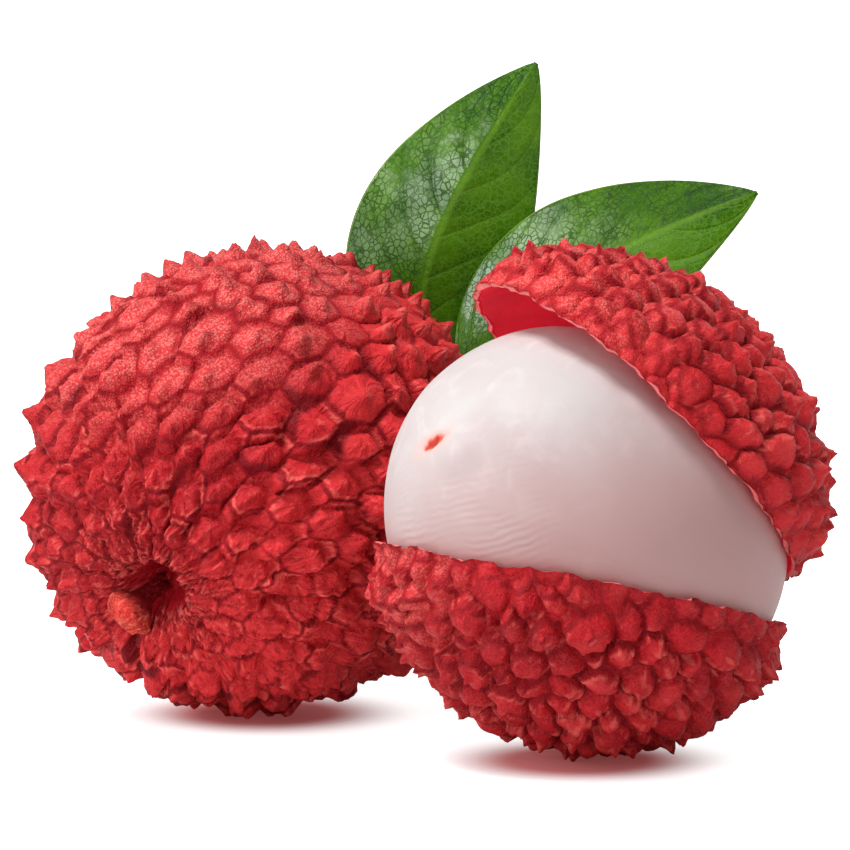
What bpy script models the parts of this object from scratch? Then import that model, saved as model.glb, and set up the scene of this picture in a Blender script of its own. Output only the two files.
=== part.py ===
"""A bunch of lychees: one whole fruit, one opened fruit and a leafy twig behind them.

The opened fruit keeps two pieces of its rind, a lower cup that it sits in and an
upper flap lifted off the flesh. Everything rests on the plane z = 0.

Run with: blender --background --python part.py
"""

import math
import random

import bmesh
import bpy
from mathutils import Vector

MM = 0.001
UP = Vector((0.0, 0.0, 1.0))

# --- Driving dimensions ----------------------------------------------------------

CLEARANCE = 0.3 * MM                 # gap left between pieces that touch
FOOT_FLATTEN = 0.3 * MM              # how far the lowest tubercles are pressed flat

# Whole fruit: an egg shape with its stem end low and towards the front
WHOLE_PLACE = Vector((-11.75, 10.6, 0.0)) * MM
WHOLE_STEM_AXIS = Vector((-0.45, -0.81, -0.37)).normalized()
WHOLE_HALF_LENGTH = 18.5 * MM
WHOLE_HALF_WIDTH = 16.35 * MM
WHOLE_TUBERCLE = 1.1 * MM            # height of a tubercle over the grooves
WHOLE_TUBERCLE_COUNT = 460
WHOLE_SEED = 11
WHOLE_GATHER = 1.45                  # over 1 draws the tubercles towards the stem
GATHER_ANGLE = 1.4                   # they are drawn this far from it, in radians
SHOULDER_DEPTH = 1.8 * MM            # dip of the rind around the stem
SHOULDER_WIDTH = 0.25                # angular width of that dip, in radians
STEM_CALM = 0.6                      # how much lower the tubercles are in the dip
STEM_WELL_DEPTH = 3.0 * MM           # round well that the stalk grows out of
STEM_WELL_FLOOR_RADIUS = 1.4 * MM
STEM_WELL_MOUTH_RADIUS = 2.4 * MM
STEM_WELL_SIDES = 20

# Broken end of the stalk, bent over the edge of the well
STUB_RADIUS = 1.05 * MM
STUB_LEAN = Vector((-0.80, 0.10, -0.60)).normalized()
STUB_REACH = 2.1 * MM                # how far its knob leans off the stem axis
STUB_STATIONS = (                    # share of the reach, height over the dip, thickness
    (0.00, -2.7 * MM, 0.60),
    (0.06, -1.5 * MM, 0.66),
    (0.32, 0.7 * MM, 0.78),
    (0.80, 1.75 * MM, 1.00),
    (1.05, 2.15 * MM, 0.98),
    (1.40, 2.6 * MM, 0.55),
)

# Opened fruit: flesh, with two pieces of rind cut from one egg-shaped skin
OPENED_PLACE = Vector((11.65, -10.7, 0.0)) * MM
OPENED_STEM_AXIS = Vector((-0.62, -0.47, 0.63)).normalized()
FLESH_HALF_LENGTH = 16.0 * MM
FLESH_HALF_WIDTH = 13.6 * MM
BLOSSOM_SHARE = 0.94                 # blossom half of the length over the stem half
RIND_THICKNESS = 1.1 * MM            # inner side of the rind to its grooves
OPENED_TUBERCLE = 1.2 * MM
OPENED_TUBERCLE_COUNT = 640
RIM_TAPER_DEPTH = 4.0 * MM           # the rind thins out this far from a torn rim
RIM_TAPER_SHARE = 0.5                # thickness at the rim over the full thickness

# The cup: all of the skin that lies under a tilted plane
CUP_NORMAL = Vector((0.19, 0.16, 0.968)).normalized()
CUP_OFFSET = -3.9 * MM               # plane to the middle of the fruit
CUP_SEED = 5
# The flap: the skin beyond a second plane, hinged back so that it stands off the flesh
FLAP_STEM_AXIS = Vector((-0.66, -0.33, 0.67)).normalized()
FLAP_LIFT = Vector((0.70, 1.40, 3.30)) * MM
FLAP_NORMAL = Vector((0.653, 0.308, 0.692)).normalized()
FLAP_OFFSET = 4.3 * MM
FLAP_CLEARANCE = 0.4 * MM
FLAP_SEED = 6

# Twig and leaves
TWIG_RADIUS = 0.85 * MM
TWIG_POINTS = [Vector(point) * MM for point in (
    (9.4, 20.1, -1.0), (8.2, 20.7, 4.5), (5.8, 21.3, 10.5), (4.1, 21.9, 16.2),
    (3.3, 23.6, 20.4), (3.1, 24.1, 22.0))]
TWIG_THICKNESSES = (1.15, 1.0, 0.9, 0.9, 1.1, 0.7)
STALK_RADIUS = 0.45 * MM
STALK_THICKNESSES = (1.15, 1.0, 0.9, 0.6)
STALK_RUN = (0.0, 0.08, 0.2)         # places along the midrib that the stalk reaches
LEAF_THICKNESS = 0.4 * MM
LEAF_ROWS = 16
LEAF_COLUMNS = 8
LEAF_TIP_WIDTH = 0.15 * MM           # half width left at the two ends of the blade
LEAF_LEAN = 0.85                     # under 1 the widest place is nearer the base
LEAF_FULLNESS = 0.80                 # under 1 the outline is fuller than a sine

LEAVES = {
    "leaf_left": {
        "socket": Vector((2.0, 24.4, 21.8)) * MM,
        "midrib": [Vector(point) * MM for point in (
            (0.6, 25.0, 23.3), (-2.2, 25.1, 30.5), (2.6, 25.4, 37.5), (8.3, 26.0, 46.4))],
        "face": Vector((-0.05, -0.96, 0.27)).normalized(),
        "half_width": 6.9 * MM,
        "fold": math.radians(-15.0),
        "curl": 0.05,
    },
    "leaf_right": {
        "socket": Vector((4.4, 23.2, 21.9)) * MM,
        "midrib": [Vector(point) * MM for point in (
            (4.2, 22.4, 22.7), (8.6, 19.0, 29.9), (15.6, 15.2, 34.0), (24.3, 13.2, 38.0))],
        "face": Vector((-0.25, -0.88, 0.40)).normalized(),
        "half_width": 6.6 * MM,
        "fold": math.radians(-13.0),
        "curl": 0.05,
    },
}

# Mesh fineness
SMOOTH_BALL_LEVEL = 4                # icosphere subdivisions of flesh and rind hollow
TUBE_BEVEL_RESOLUTION = 3
TUBE_STEPS = 3                       # rings between two points of a tube
TANGENT_STEP = 0.01                  # share of a midrib over which its direction is taken
WELD_DISTANCE = 0.001 * MM
SCATTER = 0.35                       # how far a tubercle strays from the even spiral
CUTTER_SIZE = 90.0 * MM
GOLDEN_ANGLE = math.pi * (3.0 - math.sqrt(5.0))


# --- Scene set-up ----------------------------------------------------------------

def clear_scene():
    """Remove every object that is in the scene."""
    for obj in list(bpy.data.objects):
        bpy.data.objects.remove(obj, do_unlink=True)


def new_collection(name):
    """Add a collection to the scene."""
    collection = bpy.data.collections.new(name)
    bpy.context.scene.collection.children.link(collection)
    return collection


def new_material(name, colour, roughness):
    """Make a plain material; the colour is linear RGB."""
    material = bpy.data.materials.new(name)
    material.use_nodes = True
    shader = material.node_tree.nodes["Principled BSDF"]
    shader.inputs["Base Color"].default_value = (*colour, 1.0)
    shader.inputs["Roughness"].default_value = roughness
    shader.inputs["Metallic"].default_value = 0.0
    return material


def new_empty(name, parent, location, axis=UP):
    """Add an empty that carries pieces, with its +Z turned the short way to axis."""
    empty = bpy.data.objects.new(name, None)
    empty.rotation_mode = "QUATERNION"
    empty.rotation_quaternion = UP.rotation_difference(axis)
    empty.location = location
    empty.parent = parent
    PARTS.objects.link(empty)
    return empty


def new_part(name, bm, parent, material):
    """Turn a bmesh into a smooth-shaded part under parent."""
    mesh = bpy.data.meshes.new(name)
    bmesh.ops.recalc_face_normals(bm, faces=bm.faces)
    bm.to_mesh(mesh)
    bm.free()
    mesh.shade_smooth()
    mesh.materials.append(material)
    part = bpy.data.objects.new(name, mesh)
    part.parent = parent
    PARTS.objects.link(part)
    return part


def make_cutter(obj):
    """Mark an object as a cutter, which is left out of the model."""
    for collection in list(obj.users_collection):
        collection.objects.unlink(obj)
    CUTTERS.objects.link(obj)
    obj.display_type = "WIRE"
    obj.hide_render = True
    return obj


def add_boolean(part, cutter, operation="DIFFERENCE"):
    """Cut a part with a cutter, or join the cutter to it."""
    boolean = part.modifiers.new(f"{operation.lower()}_{cutter.name}", "BOOLEAN")
    boolean.solver = "EXACT"
    boolean.operation = operation
    boolean.object = cutter


# --- Fruit shapes ----------------------------------------------------------------

def egg_point(direction, half_length, half_width, lift):
    """Point of an egg shape along a unit direction, raised off it by lift."""
    length = half_length if direction.z > 0.0 else half_length * BLOSSOM_SHARE
    point = Vector((direction.x * half_width, direction.y * half_width,
                    direction.z * length))
    normal = Vector((direction.x / half_width, direction.y / half_width,
                     direction.z / length)).normalized()
    return point + normal * lift


def lowest_reach(axis, half_length, half_width, lift):
    """Height of the middle of a tilted egg shape over its lowest point."""
    length = half_length if axis.z < 0.0 else half_length * BLOSSOM_SHARE
    along = length * axis.z
    across = half_width * math.sqrt(1.0 - axis.z ** 2)
    return math.hypot(along, across) + lift


def rim_taper(depth):
    """Share of the full rind thickness at a depth inside the torn rim."""
    share = min(1.0, max(0.0, depth / RIM_TAPER_DEPTH))
    smooth = (3.0 - 2.0 * share) * share ** 2
    return RIM_TAPER_SHARE + (1.0 - RIM_TAPER_SHARE) * smooth


def shoulder_dip(direction):
    """How far into the dip around the stem a unit direction is, from 0 to 1."""
    return math.exp(-(direction.angle(UP) / SHOULDER_WIDTH) ** 2)


def gathered(direction, gather):
    """Draw a unit direction towards +Z, which makes cells smaller and longer there."""
    angle = direction.angle(UP)
    if angle >= GATHER_ANGLE or angle == 0.0:
        return direction
    drawn = GATHER_ANGLE * (angle / GATHER_ANGLE) ** gather
    outward = Vector((direction.x, direction.y, 0.0)).normalized()
    return outward * math.sin(drawn) + UP * math.cos(drawn)


def scattered_directions(count, seed, gather):
    """Spread unit directions over a ball in a spiral, each a little astray."""
    rng = random.Random(seed)
    stray = SCATTER / math.sqrt(count)
    directions = []
    for index in range(count):
        height = 1.0 - 2.0 * (index + 0.5) / count
        ring = math.sqrt(1.0 - height ** 2)
        turn = GOLDEN_ANGLE * index
        direction = Vector((ring * math.cos(turn), ring * math.sin(turn), height))
        shift = Vector([rng.uniform(-stray, stray) for _ in range(3)])
        directions.append(gathered((direction + shift).normalized(), gather))
    return directions


def tubercled_ball(count, seed, surface, gather=1.0):
    """Ball covered in low tubercles, each the peak of a many-sided cell.

    A hull over the peaks is split at the middle of each face, and its edges are
    turned so that they run from middle to middle: those are the grooves. The
    function surface gives the place of a vertex from its direction, and from
    whether it is a peak.
    """
    bm = bmesh.new()
    for direction in scattered_directions(count, seed, gather):
        bm.verts.new(direction)
    bmesh.ops.convex_hull(bm, input=bm.verts)
    ridges = list(bm.edges)
    grooves = set(bmesh.ops.poke(bm, faces=bm.faces)["verts"])
    bmesh.ops.rotate_edges(bm, edges=ridges, use_ccw=False)
    for vert in bm.verts:
        vert.co = surface(vert.co.normalized(), vert not in grooves)
    return bm


def whole_surface(direction, is_peak):
    """Place of a vertex of the whole fruit's skin, with the dip around its stem."""
    dip = shoulder_dip(direction)
    height = WHOLE_TUBERCLE * (1.0 - STEM_CALM * dip) if is_peak else 0.0
    lift = height - dip * SHOULDER_DEPTH
    return egg_point(direction, WHOLE_HALF_LENGTH, WHOLE_HALF_WIDTH, lift)


def opened_surface(direction, is_peak, normal, offset, side):
    """Place of a vertex of the opened fruit's skin, thinner towards its torn rim.

    The rim is a plane with a normal in the fruit's own frame; side is +1 where the
    kept rind is beyond the plane, and -1 where it is before it.
    """
    base = egg_point(direction, FLESH_HALF_LENGTH, FLESH_HALF_WIDTH, CLEARANCE)
    taper = rim_taper(side * (base.dot(normal) - offset))
    height = RIND_THICKNESS + (OPENED_TUBERCLE if is_peak else 0.0)
    return egg_point(direction, FLESH_HALF_LENGTH, FLESH_HALF_WIDTH,
                     CLEARANCE + height * taper)


def smooth_ball(half_length, half_width, lift):
    """Smooth egg shape, lift outside the given half sizes."""
    bm = bmesh.new()
    bmesh.ops.create_icosphere(bm, subdivisions=SMOOTH_BALL_LEVEL, radius=1.0)
    for vert in bm.verts:
        vert.co = egg_point(vert.co.normalized(), half_length, half_width, lift)
    return bm


def plane_cutter(name, parent, centre, normal, side):
    """Big block with one face on a plane; side +1 fills the side the normal points to."""
    bm = bmesh.new()
    bmesh.ops.create_cube(bm, size=CUTTER_SIZE)
    cutter = make_cutter(new_part(name, bm, parent, MATERIALS["flesh"]))
    cutter.rotation_mode = "QUATERNION"
    cutter.rotation_quaternion = UP.rotation_difference(normal)
    cutter.location = centre + normal * (side * CUTTER_SIZE / 2.0)
    return cutter


def build_whole_fruit(bunch, floor_cutter):
    """Whole fruit and the broken end of its stalk."""
    reach = lowest_reach(WHOLE_STEM_AXIS, WHOLE_HALF_LENGTH, WHOLE_HALF_WIDTH,
                         WHOLE_TUBERCLE)
    place = WHOLE_PLACE + UP * (reach - FOOT_FLATTEN)
    frame = new_empty("whole_fruit_frame", bunch, place, WHOLE_STEM_AXIS)

    skin = tubercled_ball(WHOLE_TUBERCLE_COUNT, WHOLE_SEED, whole_surface, WHOLE_GATHER)
    fruit = new_part("whole_fruit", skin, frame, MATERIALS["rind"])

    dip_floor = WHOLE_HALF_LENGTH - SHOULDER_DEPTH
    bm = bmesh.new()
    bmesh.ops.create_cone(bm, cap_ends=True, segments=STEM_WELL_SIDES,
                          radius1=STEM_WELL_FLOOR_RADIUS, radius2=STEM_WELL_MOUTH_RADIUS,
                          depth=2.0 * STEM_WELL_DEPTH)
    well = make_cutter(new_part("stem_well_cutter", bm, frame, MATERIALS["rind"]))
    well.location = UP * dip_floor
    add_boolean(fruit, well)
    add_boolean(fruit, floor_cutter)

    build_stem_stub(frame, dip_floor)


def build_stem_stub(frame, dip_floor):
    """Stalk end: a short neck out of the well that bends over into a round knob."""
    lean = frame.rotation_quaternion.inverted() @ STUB_LEAN
    lean.z = 0.0
    lean.normalize()
    points = [lean * (STUB_REACH * out) + UP * (dip_floor + height)
              for out, height, _ in STUB_STATIONS]
    radii = [radius for _, _, radius in STUB_STATIONS]
    bm = tube_mesh("stem_stub", points, STUB_RADIUS, radii)
    new_part("stem_stub", bm, frame, MATERIALS["stalk"])


def build_rind(name, middle, stem_axis, rim, bunch):
    """One piece of the opened fruit's rind, cut from its whole skin.

    The rim is given as the plane's normal, its distance from the middle, the side
    that is kept, the gap to the flesh and the seed of the tubercles.
    """
    holder = new_empty(f"{name}_frame", bunch, middle, stem_axis)
    normal, offset, side, gap, seed = rim
    local_normal = holder.rotation_quaternion.inverted() @ normal
    skin = tubercled_ball(
        OPENED_TUBERCLE_COUNT, seed,
        lambda direction, is_peak: opened_surface(direction, is_peak, local_normal,
                                                  offset, side))
    rind = new_part(name, skin, holder, MATERIALS["opened_rind"])
    cut = plane_cutter(f"{name}_rim_cutter", bunch, middle + normal * offset, normal, -side)
    hollow = make_cutter(new_part(
        f"{name}_hollow_cutter", smooth_ball(FLESH_HALF_LENGTH, FLESH_HALF_WIDTH, gap),
        holder, MATERIALS["flesh"]))
    add_boolean(rind, cut)
    add_boolean(rind, hollow)
    return rind


def build_opened_fruit(bunch, floor_cutter):
    """Flesh in the lower cup of its rind, with the upper flap lifted off it."""
    reach = lowest_reach(OPENED_STEM_AXIS, FLESH_HALF_LENGTH, FLESH_HALF_WIDTH,
                         CLEARANCE + RIND_THICKNESS + OPENED_TUBERCLE)
    middle = OPENED_PLACE + UP * (reach - FOOT_FLATTEN)
    frame = new_empty("opened_fruit_frame", bunch, middle, OPENED_STEM_AXIS)
    new_part("flesh", smooth_ball(FLESH_HALF_LENGTH, FLESH_HALF_WIDTH, 0.0), frame,
             MATERIALS["flesh"])

    cup_rim = (CUP_NORMAL, CUP_OFFSET, -1.0, CLEARANCE, CUP_SEED)
    cup = build_rind("opened_rind_lower", middle, OPENED_STEM_AXIS, cup_rim, bunch)
    add_boolean(cup, floor_cutter)
    flap_rim = (FLAP_NORMAL, FLAP_OFFSET, 1.0, FLAP_CLEARANCE, FLAP_SEED)
    build_rind("opened_rind_upper", middle + FLAP_LIFT, FLAP_STEM_AXIS, flap_rim, bunch)


# --- Twig and leaves -------------------------------------------------------------

def tube_mesh(name, points, thickness, radii):
    """Closed round tube through points, as thick as thickness times each radius."""
    data = bpy.data.curves.new(name, "CURVE")
    data.dimensions = "3D"
    data.bevel_depth = thickness
    data.bevel_resolution = TUBE_BEVEL_RESOLUTION
    data.resolution_u = TUBE_STEPS
    data.use_fill_caps = True
    spline = data.splines.new("BEZIER")
    spline.bezier_points.add(len(points) - 1)
    for bezier, point, radius in zip(spline.bezier_points, points, radii):
        bezier.co = point
        bezier.radius = radius
        bezier.handle_left_type = "AUTO"
        bezier.handle_right_type = "AUTO"
    curve = bpy.data.objects.new(f"{name}_curve", data)
    PARTS.objects.link(curve)
    bpy.context.view_layer.update()
    evaluated = curve.evaluated_get(bpy.context.evaluated_depsgraph_get())
    mesh = bpy.data.meshes.new_from_object(evaluated)
    bm = bmesh.new()
    bm.from_mesh(mesh)
    bmesh.ops.remove_doubles(bm, verts=bm.verts, dist=WELD_DISTANCE)
    bpy.data.objects.remove(curve, do_unlink=True)
    bpy.data.meshes.remove(mesh)
    return bm


def bezier_point(controls, fraction):
    """Point of the cubic Bezier curve through four control points."""
    rest = 1.0 - fraction
    weights = (rest ** 3, 3.0 * rest ** 2 * fraction, 3.0 * rest * fraction ** 2,
               fraction ** 3)
    total = Vector((0.0, 0.0, 0.0))
    for weight, control in zip(weights, controls):
        total += control * weight
    return total


def bezier_tangent(controls, fraction):
    """Unit direction of that curve at a fraction of its length."""
    before = bezier_point(controls, max(0.0, fraction - TANGENT_STEP))
    after = bezier_point(controls, min(1.0, fraction + TANGENT_STEP))
    return (after - before).normalized()


def blade_half_width(fraction, full):
    """Half the width of a leaf: round near its base and drawn out to its tip."""
    bulge = math.sin(math.pi * fraction ** LEAF_LEAN) ** LEAF_FULLNESS
    return max(LEAF_TIP_WIDTH, full * bulge)


def leaf_point(leaf, along, across):
    """Point of a leaf blade; along runs 0..1 from base to tip, across -1..1."""
    tangent = bezier_tangent(leaf["midrib"], along)
    side = tangent.cross(leaf["face"]).normalized()
    normal = side.cross(tangent).normalized()
    width = blade_half_width(along, leaf["half_width"])
    out = width * across * math.cos(leaf["fold"])
    rise = width * abs(across) * math.sin(leaf["fold"]) - leaf["curl"] * width * across ** 2
    return bezier_point(leaf["midrib"], along) + side * out + normal * rise


def build_leaf(name, leaf, bunch):
    """Leaf: a folded blade joined to its own short stalk."""
    bm = bmesh.new()
    bmesh.ops.create_grid(bm, x_segments=LEAF_ROWS, y_segments=LEAF_COLUMNS, size=1.0)
    for vert in bm.verts:
        vert.co = leaf_point(leaf, (vert.co.x + 1.0) / 2.0, vert.co.y)
    blade = new_part(name, bm, bunch, MATERIALS["leaf"])
    solidify = blade.modifiers.new("thickness", "SOLIDIFY")
    solidify.thickness = LEAF_THICKNESS
    solidify.offset = 0.0

    path = [leaf["socket"]]
    path += [bezier_point(leaf["midrib"], along) for along in STALK_RUN]
    stalk_mesh = tube_mesh(f"{name}_stalk", path, STALK_RADIUS, STALK_THICKNESSES)
    stalk = make_cutter(new_part(f"{name}_stalk", stalk_mesh, bunch, MATERIALS["leaf"]))
    add_boolean(blade, stalk, "UNION")


def build_twig(bunch, floor_cutter):
    """Woody twig that stands on its cut foot behind the fruits and bears the leaves."""
    bm = tube_mesh("twig", TWIG_POINTS, TWIG_RADIUS, TWIG_THICKNESSES)
    twig = new_part("twig", bm, bunch, MATERIALS["twig"])
    add_boolean(twig, floor_cutter)


# --- Putting the bunch together --------------------------------------------------

def centre_on_floor(bunch):
    """Shift the bunch so that the middle of its footprint box is the origin."""
    bpy.context.view_layer.update()
    depsgraph = bpy.context.evaluated_depsgraph_get()
    points = []
    for part in PARTS.objects:
        if part.type == "MESH":
            evaluated = part.evaluated_get(depsgraph)
            mesh = evaluated.to_mesh()
            points += [part.matrix_world @ vert.co for vert in mesh.vertices]
            evaluated.to_mesh_clear()
    for axis in (0, 1):
        values = [point[axis] for point in points]
        bunch.location[axis] = -(min(values) + max(values)) / 2.0


clear_scene()
PARTS = new_collection("bunch_of_lychees")
CUTTERS = new_collection("cutters")
MATERIALS = {
    "rind": new_material("lychee_rind", (0.50, 0.035, 0.040), 0.55),
    "opened_rind": new_material("opened_lychee_rind", (0.52, 0.030, 0.036), 0.50),
    "flesh": new_material("lychee_flesh", (0.80, 0.72, 0.72), 0.25),
    "stalk": new_material("lychee_stalk_end", (0.45, 0.09, 0.05), 0.75),
    "leaf": new_material("lychee_leaf", (0.035, 0.16, 0.02), 0.35),
    "twig": new_material("lychee_twig", (0.16, 0.09, 0.045), 0.80),
}

bunch_empty = new_empty("bunch", None, Vector((0.0, 0.0, 0.0)))
floor = plane_cutter("floor_cutter", bunch_empty, Vector((0.0, 0.0, 0.0)), UP, -1.0)
build_whole_fruit(bunch_empty, floor)
build_opened_fruit(bunch_empty, floor)
build_twig(bunch_empty, floor)
for leaf_name, leaf_sizes in LEAVES.items():
    build_leaf(leaf_name, leaf_sizes, bunch_empty)
centre_on_floor(bunch_empty)
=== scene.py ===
"""Looks of a bunch of lychees: a whole fruit, an opened fruit and a leafy twig.

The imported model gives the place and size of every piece. Each piece gets a finely
shaped skin in its place and a procedural finish, and the bunch stands on a pale floor
in soft studio light.
"""

import logging
import math
from dataclasses import dataclass
from enum import Enum
from typing import Callable, Dict, List, Optional, Sequence, Tuple, Union

import bmesh
import bpy
import numpy as np
from mathutils import Matrix, Quaternion, Vector


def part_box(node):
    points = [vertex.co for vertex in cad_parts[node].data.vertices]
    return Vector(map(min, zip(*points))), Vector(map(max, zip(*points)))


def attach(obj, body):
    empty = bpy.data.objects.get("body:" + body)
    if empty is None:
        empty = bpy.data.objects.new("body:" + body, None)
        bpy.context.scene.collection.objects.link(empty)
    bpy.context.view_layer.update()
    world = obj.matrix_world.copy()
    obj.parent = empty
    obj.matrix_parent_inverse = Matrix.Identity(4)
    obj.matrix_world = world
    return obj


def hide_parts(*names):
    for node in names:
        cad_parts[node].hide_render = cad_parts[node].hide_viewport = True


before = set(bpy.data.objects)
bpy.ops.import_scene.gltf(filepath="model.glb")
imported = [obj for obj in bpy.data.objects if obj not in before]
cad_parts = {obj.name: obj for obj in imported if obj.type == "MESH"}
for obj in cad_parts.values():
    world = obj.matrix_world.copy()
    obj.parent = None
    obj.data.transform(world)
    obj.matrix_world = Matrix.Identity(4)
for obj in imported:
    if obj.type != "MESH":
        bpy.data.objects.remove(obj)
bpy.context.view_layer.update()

LOG = logging.getLogger("bunch_of_lychees")
MM = 0.001
UP = Vector((0.0, 0.0, 1.0))
GOLDEN_ANGLE = math.pi * (3.0 - math.sqrt(5.0))
NOISE_MIDDLE = (0.5, 0.5, 0.5)

Array = np.ndarray
Material = bpy.types.Material
NodeTree = bpy.types.NodeTree
Object = bpy.types.Object
Colour = Tuple[float, float, float]
Triple = Tuple[float, float, float]


class Slot(Enum):
    """The record's material slots."""

    RIND = "rind"
    OPENED_RIND = "opened_rind"
    STALK = "stalk"
    FLESH = "flesh"
    LEAF = "leaf"
    TWIG = "twig"


class Cells(Enum):
    """What a pattern of scattered cells measures."""

    TO_MIDDLE = "F1"
    SOFTLY_TO_MIDDLE = "SMOOTH_F1"
    TO_EDGE = "DISTANCE_TO_EDGE"


class Grain(Enum):
    """What the shared grain effect puts out."""

    HEIGHT = "Height"
    MASK = "Mask"


class TearSide(Enum):
    """Side of the tear that a piece of the opened rind lies on."""

    UNDER = -1.0
    OVER = 1.0


# --- Node graphs ---

def arithmetic(operation: str, swapped: bool = False) -> Callable[["Wire", "Operand"], "Wire"]:
    """Make an arithmetic method for wires.

    Args:
        operation: The math node's operation.
        swapped: The wire is the second of the two values.

    Returns:
        The method.
    """
    def method(self: "Wire", other: "Operand") -> "Wire":
        """Join the wire with another value."""
        first, second = (other, self) if swapped else (self, other)
        return self.graph.combine(operation, first, second)

    return method


class Wire:
    """An output of a node graph. Arithmetic on wires adds math nodes."""

    __add__, __radd__ = arithmetic("ADD"), arithmetic("ADD", swapped=True)
    __sub__, __rsub__ = arithmetic("SUBTRACT"), arithmetic("SUBTRACT", swapped=True)
    __mul__, __rmul__ = arithmetic("MULTIPLY"), arithmetic("MULTIPLY", swapped=True)
    __truediv__, __rtruediv__ = arithmetic("DIVIDE"), arithmetic("DIVIDE", swapped=True)

    def __init__(self, graph: "Graph", socket: bpy.types.NodeSocket) -> None:
        """Hold a socket of a graph."""
        self.graph = graph
        self.socket = socket

    def __neg__(self) -> "Wire":
        """Turn the sign round."""
        return self.graph.combine("MULTIPLY", self, -1.0)


Operand = Union[Wire, float, int, Triple]


def is_vector(value: Operand) -> bool:
    """True for a value that carries a vector or a colour."""
    return isinstance(value, tuple) or (
        isinstance(value, Wire) and value.socket.type in {"VECTOR", "RGBA"})


def enabled_socket(sockets: bpy.types.bpy_prop_collection, name: str) -> bpy.types.NodeSocket:
    """First socket of that name that is in use."""
    return next(socket for socket in sockets if socket.name == name and socket.enabled)


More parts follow.
